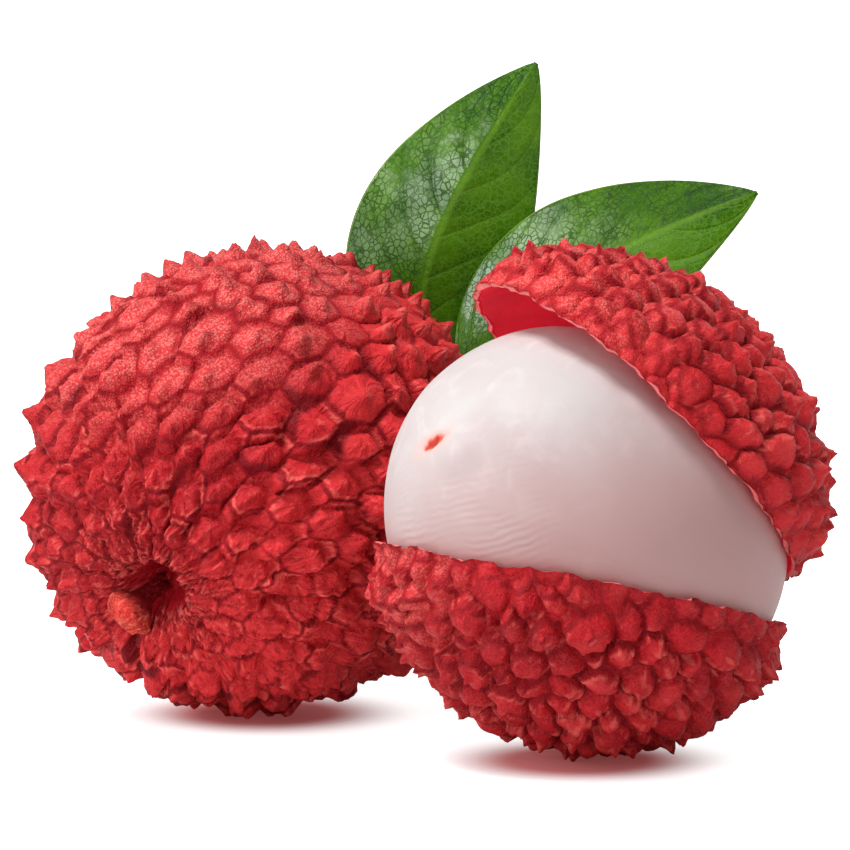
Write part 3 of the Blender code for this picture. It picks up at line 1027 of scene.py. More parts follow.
    def from_stem(self, direction: Wire, across: float, along: float) -> Wire:
        """Place for a noise that changes this fast round the stem and away from it."""
        return self.spoke(direction) * across + self.join(
            0.0, 0.0, self.stem_angle(direction) * along)

    def wrinkles(self, direction: Wire) -> Wire:
        """Fine crooked wrinkles that run away from the stem, up to 1."""
        return self.folds(self.from_stem(direction, 4.6, 2.2), 3.0, 9.0, -0.6, detail=2.0,
                          roughness=0.6, twist=0.8)

    def pleats(self, direction: Wire) -> Wire:
        """Make folds that run out from the stem.

        Args:
            direction: The direction of the point.

        Returns:
            Their height, from -1 to 1.
        """
        inner, outer = self.add_inputs(Pleat_Start=0.10, Pleat_End=0.75)
        angle = self.stem_angle(direction)
        strength = self.span(angle, inner, inner + 0.06, smooth=True) * self.span(
            angle, outer, inner + 0.12, smooth=True)
        return self.folds(self.from_stem(direction, 3.1, 2.6), 3.0, 6.0, -1.0, detail=2.0,
                          twist=0.3) * strength


@dataclass
class WholeFruit:
    """The whole lychee, with the dip and the well that its stalk grows from."""

    layout: Layout
    tree: RindTree
    finish: Material
    steps: int = 128
    dip_angle: float = 0.25
    sunk: float = 0.60 * MM
    count: int = 440
    seed: int = 11
    top: Vector = Vector((0.10, -0.12, 1.0))
    left: Vector = Vector((-1.0, -0.45, 0.05))
    right: Vector = Vector((0.95, -0.30, 0.10))
    low: Vector = Vector((0.55, -0.62, -0.55))
    # Aim of the pale granular zone: partly the skin's own pale plates, partly painted light on
    # the side that faces the key lamp.
    pale: Vector = Vector((-0.33, -0.26, 0.91))
    crowd_near: Tuple[float, float] = (0.40, 0.30)
    crowd_far: Tuple[float, float] = (0.25, 1.3)

    def marks(self, directions: Array) -> Dict[str, Array]:
        """Where the skin is flat-plated, spired, scaly or calm, where it is pale, and where
        painted fill light lightens its shaded sides, from 0 to 1.

        Args:
            directions: Unit directions in the fruit's own frame.

        Returns:
            One value for each direction, by name.
        """
        outward = self.layout.whole().outward(directions)
        angle = np.arccos(np.clip(directions[:, 2], -1.0, 1.0))
        plates = towards(outward, self.top, 0.46, 0.78)
        # Painted fill light: lighter red on the bottom, the lower right, the right side and a
        # little on the left, sides that lie in shade.
        ruddy = np.maximum.reduce([
            towards(outward, self.low, 0.45, 0.80),
            smooth_step(-outward[:, 2], 0.10, 0.75),
            towards(outward, self.left, 0.70, 0.95) * 0.2,
            towards(outward, self.right, 0.45, 0.80)])
        return {"plates": plates, "ruddy": ruddy,
                "pale": towards(outward, self.pale, 0.56, 0.88),
                "spires": towards(outward, self.left, 0.62, 0.85) * (1.0 - plates),
                "scales": towards(outward, self.low, 0.55, 0.85) * (1.0 - plates),
                "calm": np.exp(-(angle / (self.dip_angle * 1.5)) ** 2) * 0.62,
                "wall": np.zeros(len(angle)), "rim_depth": np.ones(len(angle))}

    def crowd(self, directions: Array) -> Array:
        """Draw directions closer together round the stem, where the detail is finest.

        Args:
            directions: Even unit directions.

        Returns:
            The drawn directions.
        """
        angle = np.arccos(np.clip(directions[:, 2], -1.0, 1.0))
        (near, near_width), (far, far_width) = self.crowd_near, self.crowd_far
        drawn = angle * (1.0 - near * np.exp(-(angle / near_width) ** 2)
                         - far * np.exp(-(angle / far_width) ** 4))
        flat = directions[:, :2]
        spoke = flat / np.maximum(np.linalg.norm(flat, axis=1), 1e-9)[:, None]
        return np.column_stack([spoke * np.sin(drawn)[:, None], np.cos(drawn)])

    def build(self) -> Object:
        """Grow the skin and put it in its place.

        Returns:
            The finished piece.
        """
        directions, faces = ball_grid(self.steps)
        directions = self.crowd(directions)
        skin = self.tree.grow(
            new_object("whole_fruit_skin", directions, faces, self.marks(directions)), {
                **self.layout.whole_egg.sizes(), "Count": self.count, "Seed": self.seed,
                "Tubercle Height": self.layout.whole_tubercle + self.sunk,
                "Groove Lift": -self.sunk, "Gather": 1.5, "Wrinkle Height": 0.22 * MM,
                "Dip Depth": self.layout.dip_depth, "Dip Angle": self.dip_angle,
                "Well Depth": 2.3 * MM, "Well Radius": 2.5 * MM,
                "Pleat Height": 0.50 * MM, "Pleat Start": 0.08, "Pleat End": 0.70,
            }, self.finish)
        self.layout.whole().settle(skin)
        hand_over(skin, Slot.RIND, "whole_fruit")
        return skin


@dataclass
class RindPiece:
    """A torn piece of the opened lychee's rind: skin, torn rim and smooth inner side."""

    name: str
    node: str
    tree: RindTree
    finish: Material
    stance: Stance
    egg: Egg
    side: TearSide
    normal: Vector
    offset: float
    gap: float
    seed: int
    pale_and_lit_side: Vector
    # Share of painted fill light, even over the whole piece.
    ruddy: float
    steps: int = 200
    thickness: float = 1.1 * MM
    tubercle: float = 1.2 * MM
    count: int = 540
    sunk: float = 0.35 * MM
    ragged: float = 0.13 * MM
    ragged_waves: Tuple[Tuple[int, float], ...] = (
        (3, 0.9), (7, 0.7), (17, 0.55), (29, 0.5), (61, 0.35), (97, 0.2))
    rim_rings: int = 3
    rim_search: Tuple[float, float] = (0.2, 2.6)
    search_steps: int = 40

    def rim_angle(self, turn: Array, lift: float, tear: Array) -> Array:
        """Search for the torn rim along each direction round the piece.

        Args:
            turn: Angles round the middle of the piece.
            lift: Height over the egg at which the tear is met.
            tear: Ups and downs of the tear at each of them.

        Returns:
            The angle between the middle of the piece and its rim at each of them.
        """
        low, high = (np.full(len(turn), end) for end in self.rim_search)
        normal = np.array(self.stance.local(self.normal))
        for _ in range(self.search_steps):
            middle = (low + high) / 2.0
            height = self.egg.points(self.directions(middle, turn), lift) @ normal
            inside = self.side.value * (height - self.offset - tear) > 0.0
            low = np.where(inside, middle, low)
            high = np.where(inside, high, middle)
        return (low + high) / 2.0

    def directions(self, angle: Array, turn: Array) -> Array:
        """Find unit directions round the middle of the piece.

        Args:
            angle: Angle between each of them and the middle.
            turn: Angle of each of them round the middle.

        Returns:
            The directions, one row each.
        """
        pole = self.stance.local(self.normal * self.side.value).normalized()
        first = pole.orthogonal().normalized()
        second = pole.cross(first)
        return ((np.cos(turn) * np.sin(angle))[:, None] * np.array(first)
                + (np.sin(turn) * np.sin(angle))[:, None] * np.array(second)
                + np.cos(angle)[:, None] * np.array(pole))

    def tear(self, turn: Array) -> Array:
        """Draw the small ups and downs of the torn rim.

        Args:
            turn: Angles round the middle of the piece.

        Returns:
            The rise of the tear at each of them.
        """
        rng = np.random.default_rng(self.seed)
        line = np.zeros_like(turn)
        for waves, share in self.ragged_waves:
            line += share * np.sin(waves * turn + rng.uniform(0.0, 2.0 * math.pi))
        return line * self.ragged

    def base(self) -> Object:
        """Lay out the closed shell of unit directions: outer side, rim rings, inner side.

        Returns:
            The object that the rind grows on.
        """
        reach, turn, index = disc_grid(self.steps)
        tear = self.tear(turn)
        outer_angle, inner_angle = (
            self.rim_angle(turn, lift, tear)
            for lift in (self.gap + self.thickness * 0.5, self.gap))
        outer, inner = (self.directions(reach * angle, turn)
                        for angle in (outer_angle, inner_angle))
        size = len(reach)
        rim = border_loop(index)
        shares = (np.arange(self.rim_rings) + 1.0) / (self.rim_rings + 1.0)
        rings = [unit_rows(outer[rim] * (1.0 - share) + inner[rim] * share)
                 for share in shares]
        directions = np.concatenate([outer, inner] + rings)
        loops = [rim] + [2 * size + ring * len(rim) + np.arange(len(rim))
                         for ring in range(self.rim_rings)] + [rim + size]
        sides = grid_faces(index)
        faces = np.concatenate([sides, sides[:, ::-1] + size] + [
            band_faces(first, second) for first, second in zip(loops[:-1], loops[1:])])
        depth = (1.0 - reach) * inner_angle * self.egg.half_width
        on_rings = len(directions) - 2 * size
        blank = np.zeros(len(directions))
        outward = self.stance.outward(directions)
        return new_object(self.name, directions, faces, {
            "wall": np.concatenate([np.zeros(size), np.ones(size),
                                    np.repeat(shares, len(rim))]),
            "rim_depth": np.concatenate([depth, depth, np.zeros(on_rings)]),
            "plates": blank, "spires": blank, "scales": blank, "calm": blank,
            "ruddy": np.full(len(directions), self.ruddy),
            # Pale granular zone: partly pale skin, partly painted light on the side that faces
            # the lamps.
            "pale": towards(outward, self.pale_and_lit_side, 0.58, 0.95) * 0.8})

    def build(self) -> Object:
        """Grow the piece and put it in its place.

        Returns:
            The finished piece.
        """
        piece = self.tree.grow(self.base(), {
            **self.egg.sizes(), "Count": self.count, "Seed": self.seed,
            "Tubercle Height": self.tubercle + self.sunk,
            "Groove Lift": self.gap + self.thickness - self.sunk, "Inner Lift": self.gap,
            "Rim Taper Depth": 3.0 * MM, "Rim Taper Share": 0.35,
            "Edge Share": 0.10, "Flank Share": 0.60, "Bulge": 2.3, "Tip Share": 0.50,
            "Crumple Height": 0.20 * MM, "Crumple Size": 1.1 * MM,
            "Tip Radius": 0.38 * MM, "Roof Reach": 1.15 * MM,
            "Scatter": 0.7, "Lump Height": 0.3 * MM, "Tilt": 0.5,
        }, self.finish)
        turn_faces_outward(piece)
        self.stance.settle(piece)
        hand_over(piece, Slot.OPENED_RIND, self.node)
        return piece


# --- Flesh ---

class FleshTree(GeometryTree):
    """Shapes the flesh: a scar at its stem end, a small swelling and soft lumps, and marks where
    fine wrinkles run.
    """

    SCAR_EDGE = (0.76 * MM, 0.1 * MM)
    HALO_EDGE = (1.2 * MM, 0.4 * MM)
    SMOOTH_ROUND_SCAR = (2.0 * MM, 4.0 * MM)

    def __init__(self) -> None:
        """Build the tree."""
        super().__init__("lychee_flesh_form")
        scar, slant, bulge, low, crosswise, wrinkled = (
            self.add_input(name, kind="Vector") for name in (
                "Scar Direction", "Scar Slant", "Swelling Direction", "Low Direction",
                "Wrinkle Direction", "Wrinkled Direction"))
        radius, scar_depth, swelling = self.add_inputs(
            Radius=14.0 * MM, Scar_Depth=0.35 * MM, Swelling_Height=0.35 * MM)
        direction = self.read("direction", vector=True)
        aside = direction - scar
        ragged = self.noise(direction, 26.0, detail=2.0) - 0.5
        cut = self.length(aside - slant * (self.dot(aside, slant) * 0.62)
                          ) * radius + ragged * (0.9 * MM)
        pit = self.span(cut, *self.SCAR_EDGE, smooth=True)
        mound = self.span(self.length(direction - bulge) * radius, 2.4 * MM, 0.0, smooth=True)
        sway = self.noise(direction, 3.0, detail=2.0) - 0.5
        patch = self.noise(direction, 5.0, detail=1.0)
        run = self.dot(direction, crosswise) * radius + sway * (1.8 * MM)
        zone = self.span(self.length(aside) * radius, *self.SMOOTH_ROUND_SCAR, smooth=True
                         ) * self.span(patch, 0.30, 0.6, 0.3, 1.0, smooth=True) * self.span(
            self.dot(direction, wrinkled), 0.80, 0.97, 0.12, 1.0, smooth=True)
        lumps = self.noise(direction, 2.2, detail=1.0) - 0.5
        lift = mound * swelling - pit * scar_depth + lumps * (0.25 * MM)
        outward = self.read("outward", vector=True)
        self.end(self.store(self.move(self.geometry, self.place + outward * lift), {
            "pit": pit, "halo": self.span(cut, *self.HALO_EDGE, smooth=True),
            "wrinkle_run": run / MM, "wrinkle_zone": zone,
            "low": self.span(self.dot(direction, low), -0.72, 0.28, smooth=True)}))


@dataclass
class Flesh:
    """The white flesh of the opened lychee."""

    layout: Layout
    finish: Material
    steps: int = 84
    scar: Vector = Vector((-0.705, -0.555, 0.440))
    slant: Vector = Vector((0.55, -0.60, 0.58))
    swelling: Vector = Vector((-0.58, -0.70, 0.40))
    # Aim of the lower side, which the finish paints pink, partly as painted shade.
    low: Vector = Vector((0.36, -0.20, -0.91))
    crosswise: Vector = Vector((0.28, -0.10, -0.95))
    wrinkled: Vector = Vector((-0.62, -0.78, 0.02))

    def build(self) -> Object:
        """Shape the flesh and put it in its place.

        Returns:
            The finished piece.
        """
        stance = self.layout.opened()
        egg = self.layout.flesh_egg
        directions, faces = ball_grid(self.steps)
        places = egg.points(directions, 0.0)
        base = new_object("lychee_flesh", places, faces, {
            "direction": directions, "outward": egg.points(directions, 1.0) - places})
        flesh = FleshTree().grow(base, {
            name: stance.local(aim.normalized()) for name, aim in (
                ("Scar Direction", self.scar), ("Swelling Direction", self.swelling),
                ("Low Direction", self.low), ("Scar Slant", self.slant),
                ("Wrinkle Direction", self.crosswise),
                ("Wrinkled Direction", self.wrinkled))}, self.finish)
        stance.settle(flesh)
        hand_over(flesh, Slot.FLESH, "flesh")
        return flesh


# --- Leaves ---

def bezier(controls: Sequence[Vector], fraction: Array) -> Array:
    """Find points of a cubic Bezier curve.

    Args:
        controls: Its four control points.
        fraction: Where along it, from 0 to 1.

    Returns:
        The points.
    """
    rest = 1.0 - fraction
    weights = np.stack([rest ** 3, 3.0 * rest ** 2 * fraction, 3.0 * rest * fraction ** 2,
                        fraction ** 3], axis=-1)
    return weights @ np.array([tuple(control) for control in controls])


def both_sides(values: Array) -> Array:
    """Values of a blade's grid, once for its upper and once for its under side."""
    return np.concatenate([values.reshape(-1, *values.shape[2:])] * 2)


class LeafTree(GeometryTree):
    """Raises the veins, the blistered green between them and the rim of a leaf blade."""

    HAND_SHIFT = 0.22
    WAVE_HEIGHT = 0.50 * MM
    DIMPLE_HEIGHT = 0.05 * MM

    def __init__(self) -> None:
        """Build the tree."""
        super().__init__("leaf_veins")
        thickness, pairs, sweep, seed, depth, blister = self.add_inputs(
            Thickness=0.4 * MM, Vein_Pairs=7.0, Vein_Sweep=0.20, Seed=0.0,
            Vein_Depth=0.032 * MM, Blister_Height=0.03 * MM)
        along, across, side, length, width = (self.read(name) for name in (
            "along", "across", "side", "length", "width"))
        out = self.math("ABSOLUTE", across)
        flat = self.join(along * length, across * width, seed)
        stray = self.noise(flat, 160.0, detail=1.0) - 0.5
        path = (along - out * sweep - out * out * sweep * 0.45 + stray * 0.035
                ) * pairs + self.math("SIGN", across) * self.HAND_SHIFT
        gap = self.math("ABSOLUTE", self.math("FRACT", path + 20.0) - 0.5)
        vein_away = gap / pairs * length
        midrib_away = out * width
        fade = self.span(out, 0.98, 0.80, smooth=True)
        vein = self.span(vein_away, 0.20 * MM, 0.02 * MM, smooth=True) * fade
        midrib = self.span(midrib_away, 0.26 * MM, 0.04 * MM, smooth=True) * self.span(
            along, 1.0, 0.9)
        puff = self.span(vein_away, 0.0, 1.1 * MM, smooth=True) * self.span(
            midrib_away, 0.0, 1.4 * MM, smooth=True)
        rim = self.span(out, 0.97, 1.0, smooth=True)
        dimples, wave = (self.noise(flat, scale, detail=1.0) - 0.5 for scale in (900.0, 120.0))
        upper = (puff * blister - vein * depth - midrib * (depth * 1.5)
                 + dimples * self.DIMPLE_HEIGHT)
        under = puff * (blister * 0.5) - vein * depth * 0.9 - midrib * (depth * 3.0)
        relief = self.blend(self.math("GREATER_THAN", side, 0.0), under, upper)
        lift = (side * thickness * 0.5 * (1.0 - rim * 0.55)
                + relief * self.span(out, 1.0, 0.94)
                + wave * self.WAVE_HEIGHT * self.span(out, 0.0, 0.5))
        outward = self.read("outward", vector=True)
        self.end(self.store(self.move(self.geometry, self.place + outward * lift), {
            "vein_away": vein_away / MM, "midrib": midrib, "fade": fade, "puff": puff,
            "rim": rim, "flat": flat}))


@dataclass
class Leaf:
    """A leaf with its own stalk: a folded blade with veins."""

    name: str
    node: str
    layout: Layout
    tree: LeafTree
    finish: Material
    stalks: "StalkTree"
    socket: Vector
    midrib: Tuple[Vector, Vector, Vector, Vector]
    face: Vector
    half_width: float
    fold: float
    seed: float
    curl: float = 0.05
    rows: int = 260
    columns: int = 120
    thickness: float = 0.4 * MM
    tip_width: float = 0.15 * MM
    lean: float = 0.85
    fullness: float = 0.80
    # Where the gloss rises along the blade; where it is low, the glossy half also gets painted
    # shade.
    gloss_run: Tuple[float, float] = (0.32, 0.62)
    tangent_step: float = 0.01
    normal_step: float = 0.004
    stalk_radius: float = 0.45 * MM
    stalk_stations: Tuple[float, ...] = (0.0, 0.08, 0.2)
    stalk_shares: Tuple[float, ...] = (1.15, 1.0, 0.9, 0.6)

    def blade(self, along: Array, across: Array) -> Array:
        """Find places on the middle of the blade.

        Args:
            along: From 0 at its foot to 1 at its tip.
            across: From -1 at one rim to 1 at the other.

        Returns:
            The places.
        """
        shift = self.layout.shift()
        midrib = [control + shift for control in self.midrib]
        tangent = unit_rows(bezier(midrib, np.minimum(1.0, along + self.tangent_step))
                            - bezier(midrib, np.maximum(0.0, along - self.tangent_step)))
        side = unit_rows(np.cross(tangent, np.array(self.face.normalized())))
        normal = np.cross(side, tangent)
        width = self.width(along)
        out = width * across * math.cos(self.fold)
        rise = width * np.abs(across) * math.sin(self.fold) - self.curl * width * across ** 2
        return bezier(midrib, along) + side * out[..., None] + normal * rise[..., None]

    def width(self, along: Array) -> Array:
        """Half width of the blade."""
        bulge = np.maximum(np.sin(math.pi * np.clip(along, 0.0, 1.0) ** self.lean), 0.0)
        return np.maximum(self.tip_width, self.half_width * bulge ** self.fullness)

    def normals(self, along: Array, across: Array) -> Array:
        """Find which way the blade faces.

        Args:
            along: From 0 at its foot to 1 at its tip.
            across: From -1 at one rim to 1 at the other.

        Returns:
            Unit directions on the side of its upper face.
        """
        step = self.normal_step
        by_along = self.blade(np.minimum(1.0, along + step), across) - self.blade(
            np.maximum(0.0, along - step), across)
        by_across = self.blade(along, np.minimum(1.0, across + step)) - self.blade(
            along, np.maximum(-1.0, across - step))
        normals = unit_rows(np.cross(by_across, by_along))
        faces_up = np.sum(normals @ np.array(self.face.normalized())) >= 0.0
        return normals if faces_up else -normals

    def base(self) -> Object:
        """Lay out the closed thin blade without its relief.

        Returns:
            The object that the veins are raised on.
        """
        along, across = np.meshgrid(np.linspace(0.0, 1.0, self.rows + 1),
                                    np.linspace(-1.0, 1.0, self.columns + 1), indexing="ij")
        size = along.size
        index = np.arange(size).reshape(along.shape)
        rim = border_loop(index)
        upper = grid_faces(index)
        faces = np.concatenate([upper, upper[:, ::-1] + size, band_faces(rim, rim + size)])
        line = bezier(self.midrib, np.linspace(0.0, 1.0, 60))
        length = np.linalg.norm(np.diff(line, axis=0), axis=1).sum()
        return new_object(self.name, both_sides(self.blade(along, across)), faces, {
            "along": both_sides(along), "across": both_sides(across),
            "outward": both_sides(self.normals(along, across)),
            "side": np.repeat([1.0, -1.0], size),
            "gloss": both_sides(smooth_step(along, *self.gloss_run)),
            "length": np.full(2 * size, length), "width": both_sides(self.width(along))})

    def build(self) -> Object:
        """Grow the blade and join its stalk.

        Returns:
            The finished piece.
        """
        blade = self.tree.grow(self.base(), {
            "Thickness": self.thickness, "Seed": self.seed * MM * 40.0}, self.finish)
        turn_faces_outward(blade)
        join_meshes(blade, self.stalk())
        hand_over(blade, Slot.LEAF, self.node)
        return blade

    def stalk(self) -> Object:
        """Make the short stalk from the twig to the blade.

        Returns:
            The stalk, marked for the leaf's finish.
        """
        shift = self.layout.shift()
        line = bezier(self.midrib, np.array(self.stalk_stations))
        points = [self.socket + shift] + [Vector(point) + shift for point in line]
        stalk = Stalk(f"{self.name}_stalk", self.stalks, self.finish, points,
                      [self.stalk_radius * share for share in self.stalk_shares],
                      {"Step": 0.15 * MM, "Sides": 24, "Furrow Height": 0.05 * MM,
                       "Grain Height": 0.02 * MM, "Seed": self.seed}).shape()
        keep(stalk.data, "run_mark", np.ones(len(stalk.data.vertices)))
        return stalk


# --- Stalks ---

class StalkTree(GeometryTree):
    """Turns a line into a round stalk with bark: furrows along it and grains on it."""

    RUN_SCALE = 260.0

    def __init__(self) -> None:
        """Build the tree."""
        super().__init__("barked_stalk")
        sides = self.add_input("Sides", 40, kind="Int")
        step, furrow, furrow_scale, grain, grain_size, seed = self.add_inputs(
            Step=0.12 * MM, Furrow_Height=0.08 * MM, Furrow_Scale=2.6,
            Grain_Height=0.05 * MM, Grain_Size=0.5 * MM, Seed=0.0)
        line = self.call("GeometryNodeMeshToCurve", "Curve", {"Mesh": self.geometry})
        line = self.call("GeometryNodeCurveSplineType", "Curve", {"Curve": line},
                         spline_type="CATMULL_ROM")
        line = self.call("GeometryNodeResampleCurve", "Curve", {"Curve": line, "Length": step},
                         mode="LENGTH")
        run = self.call("GeometryNodeSplineParameter", "Length", {})
        tube = self.call("GeometryNodeCurveToMesh", "Mesh", {
            "Curve": self.store(line, {"run": run, "axis_place": self.place}),
            "Profile Curve": self.call("GeometryNodeCurvePrimitiveCircle", "Curve",
                                       {"Resolution": sides, "Radius": 1.0}),
            "Scale": self.read("thickness"), "Fill Caps": True})
        outward = self.unit(self.place - self.read("axis_place", vector=True))
        x, y, z = self.split(outward)
        lengthwise = self.join(x * furrow_scale, y * furrow_scale,
                               z * furrow_scale + self.read("run") * self.RUN_SCALE + seed)
        furrows = self.noise(lengthwise, 2.0, detail=3.0, roughness=0.6) - 0.5
        cell = self.cells(self.place + outward * (seed * MM), 1.0 / grain_size,
                          Cells.SOFTLY_TO_MIDDLE)
        grains = self.span(cell, 0.75, 0.1, smooth=True)
        lift = furrows * furrow * 2.0 + grains * grain
        self.end(self.store(self.move(tube, self.place + outward * lift),
                            {"grain": grains, "furrow": furrows}))


@dataclass
class Stalk:
    """A round stalk along a few points, rounded off at both ends.

    Its rounding gives how far out and how wide each ring of an end is, as shares of the
    radius there.
    """

    name: str
    tree: StalkTree
    finish: Material
    points: Sequence[Vector]
    radii: Sequence[float]
    sizes: Dict[str, float]
    rounding: Tuple[Tuple[float, float], ...] = ((0.42, 0.05), (0.30, 0.72))

    def end(self, point: Vector, inner: Vector, radius: float) -> List[Tuple[Vector, float]]:
        """Points and radii that round off an end, from the outside in."""
        out = (point - inner).normalized()
        return [(point + out * (radius * reach), radius * share)
                for reach, share in self.rounding]

    def shape(self) -> Object:
        """Make the stalk's mesh.

        Returns:
            The object that holds it.
        """
        first = self.end(self.points[0], self.points[1], self.radii[0])
        last = self.end(self.points[-1], self.points[-2], self.radii[-1])
        stations = first + list(zip(self.points, self.radii)) + last[::-1]
        mesh = bpy.data.meshes.new(self.name)
        mesh.from_pydata([tuple(point) for point, _ in stations],
                         [(index, index + 1) for index in range(len(stations) - 1)], [])
        keep(mesh, "thickness", np.array([radius for _, radius in stations]))
        grown = self.tree.grow(link_object(self.name, mesh), self.sizes, self.finish)
        turn_faces_outward(grown)
        return grown


@dataclass
class StemStub:
    """The short stalk in the whole fruit's well, bent over into a round knob.

    Each station gives how far it leans out as a share of the reach, its height over the
    well's floor in millimetres, and its share of the radius.
    """

    layout: Layout
    tree: StalkTree
    finish: Material
    radius: float = 1.05 * MM
    reach: float = 2.55 * MM
    lean: Vector = Vector((-0.70, 0.10, -0.70)).normalized()
    stations: Tuple[Triple, ...] = (
        (0.50, -2.7, 0.45), (0.56, -1.5, 0.42), (0.72, -0.3, 0.50),
        (0.94, 0.55, 1.35), (1.10, 0.95, 1.66), (1.26, 1.25, 1.36))

    def build(self) -> Object:
        """Grow the stub in its well.

        Returns:
            The finished piece.
        """
        stance = self.layout.whole()
        lean = stance.local(self.lean)
        lean.z = 0.0
        lean.normalize()
        floor = self.layout.whole_egg.half_length - self.layout.dip_depth
        points = [stance.matrix @ (lean * (self.reach * out) + UP * (floor + height * MM))
                  for out, height, _ in self.stations]
        radii = [self.radius * share for _, _, share in self.stations]
        stub = Stalk("stalk_end", self.tree, self.finish, points, radii, {
            "Step": 0.09 * MM, "Sides": 56, "Furrow Height": 0.10 * MM,
            "Furrow Scale": 2.0, "Grain Height": 0.32 * MM, "Grain Size": 0.60 * MM,
            "Seed": 3.0}).shape()
        hand_over(stub, Slot.STALK, "stem_stub")
        return stub


@dataclass
class Twig:
    """The woody twig that stands behind the fruits and bears the leaves."""

    layout: Layout
    tree: StalkTree
    finish: Material
    radius: float = 0.85 * MM
    points: Tuple[Triple, ...] = ((8.99, 20.33, 0.35), (8.2, 20.7, 4.5), (5.8, 21.3, 10.5),
                                  (4.1, 21.9, 16.2), (3.3, 23.6, 20.4), (3.1, 24.1, 22.0))
    shares: Tuple[float, ...] = (1.10, 1.0, 0.9, 0.9, 1.1, 0.7)

    def build(self) -> Object:
        """Grow the twig on its cut foot.

        Returns:
            The finished piece.
        """
        shift = self.layout.shift()
        points = [Vector(point) * MM + shift for point in self.points]
        twig = Stalk("woody_twig", self.tree, self.finish, points,
                     [self.radius * share for share in self.shares],
                     {"Step": 0.16 * MM, "Sides": 48, "Furrow Height": 0.09 * MM,
                      "Grain Size": 0.7 * MM, "Seed": 8.0}).shape()
        keep_on_floor(twig)
        hand_over(twig, Slot.TWIG, "twig")
        return twig


# --- Finishes ---

def linear(*display: int) -> Colour:
    """Scene-linear colour of 8-bit display values."""
    shares = (value / 255.0 for value in display)
    return tuple(share / 12.92 if share <= 0.04045 else ((share + 0.055) / 1.055) ** 2.4
                 for share in shares)


class ShaderGroup(Group):
    """A shader node group that several finishes share."""

    def __init__(self, name: str) -> None:
        """Start an empty group that is read at a place."""
        super().__init__(name, "ShaderNodeTree")
        self.place = self.add_input("Place", kind="Vector")


def make_grain_group() -> NodeTree:
    """Build the fine grains: a height for bumps and a mask for specks of colour.

    Returns:
        The group.
    """
    group = ShaderGroup("grain")
    size, contrast = group.add_inputs(Size=0.25 * MM, Contrast=1.0)
    scale = 1.0 / size
    coarse = group.noise(group.place, scale * 0.55, detail=3.0, roughness=0.65)
    grains = group.span(group.cells(group.place, scale), 0.75, 0.10, smooth=True)
    height = (coarse - 0.5) * 1.2 + grains * 0.55
    group.add_output(Grain.HEIGHT.value, "Float", height)
    group.add_output(Grain.MASK.value, "Float",
                     group.span(height * contrast, 0.0, 0.62, smooth=True))
    return group.tree


def make_mottle_group() -> NodeTree:
    """Build the patches of two colours that run into each other.

    Returns:
        The group.
    """
    group = ShaderGroup("mottle")
    size, spread = group.add_inputs(Size=6.0 * MM, Spread=0.2)
    first = group.add_input("First", (1.0, 1.0, 1.0, 1.0), kind="Color")
    second = group.add_input("Second", (0.5, 0.5, 0.5, 1.0), kind="Color")
    cloud = group.noise(group.place, 1.0 / size, detail=4.0, roughness=0.55, twist=0.4)
    patches = group.span(cloud, 0.5 - spread, 0.5 + spread, smooth=True)
    group.add_output("Color", "Color", group.tint(patches, first, second))
    return group.tree


@dataclass(frozen=True)
class Effects:
    """The shader groups that the finishes share."""

    grain: NodeTree
    mottle: NodeTree


class Shade(Graph):
    """The node graph of one material, with its Principled shader."""

    def __init__(self, name: str, effects: Effects) -> None:
        """Start a material with an empty Principled shader.

        Args:
            name: The material's name.
            effects: The shared shader groups.
        """
        self.material = bpy.data.materials.new(name)
        self.material.use_nodes = True
        super().__init__(self.material.node_tree)
        self.shader = self.tree.nodes["Principled BSDF"]
        self.effects = effects
        self.place = self.call("ShaderNodeTexCoord", "Object", {})

    def read(self, name: str, output: str = "Fac") -> Wire:
        """Read an attribute of the mesh."""
        return self.call("ShaderNodeAttribute", output, {}, attribute_name=name,
                         attribute_type="GEOMETRY")

    def effect(self, group: NodeTree, output: str, values: Dict[str, Operand]) -> Wire:
        """Place a shared group, read in Object coordinates, and give one output."""
        return self.call("ShaderNodeGroup", output, {"Place": self.place, **values},
                         node_tree=group)

    def grain(self, size: float, output: Grain = Grain.HEIGHT, contrast: float = 1.0) -> Wire:
        """Fine grains."""
        return self.effect(self.effects.grain, output.value,
                           {"Size": size, "Contrast": contrast})

    def mottle(self, size: float, first: Operand, second: Operand, spread: float = 0.2) -> Wire:
        """Colour in soft patches."""
        return self.effect(self.effects.mottle, "Color", {
            "Size": size, "First": first, "Second": second, "Spread": spread})

    def bump(self, height: Wire, depth: float, strength: float) -> None:
        """Raise the surface where a height is 1 by a depth in metres."""
        self.set(Normal=self.call("ShaderNodeBump", "Normal", {
            "Strength": strength, "Distance": depth, "Height": height}))

    def set(self, **values: Operand) -> None:
        """Set the shader's inputs; an underscore in a name stands for a space."""
        for name, value in values.items():
            self.feed(self.shader.inputs[name.replace("_", " ")], value)


@dataclass(frozen=True)
class Finish:
    """A finish; each kind paints its own material."""

    name: str

    def material(self, effects: Effects) -> Material:
        """Build the material.

        Args:
            effects: The shared shader groups.

        Returns:
            The finished material.
        """
        shade = Shade(self.name, effects)
        self.dress(shade)
        return shade.material

    def dress(self, shade: Shade) -> None:
        """Paint the material; each kind does it in its own way."""
        raise NotImplementedError(f"{self.name} has no paint")


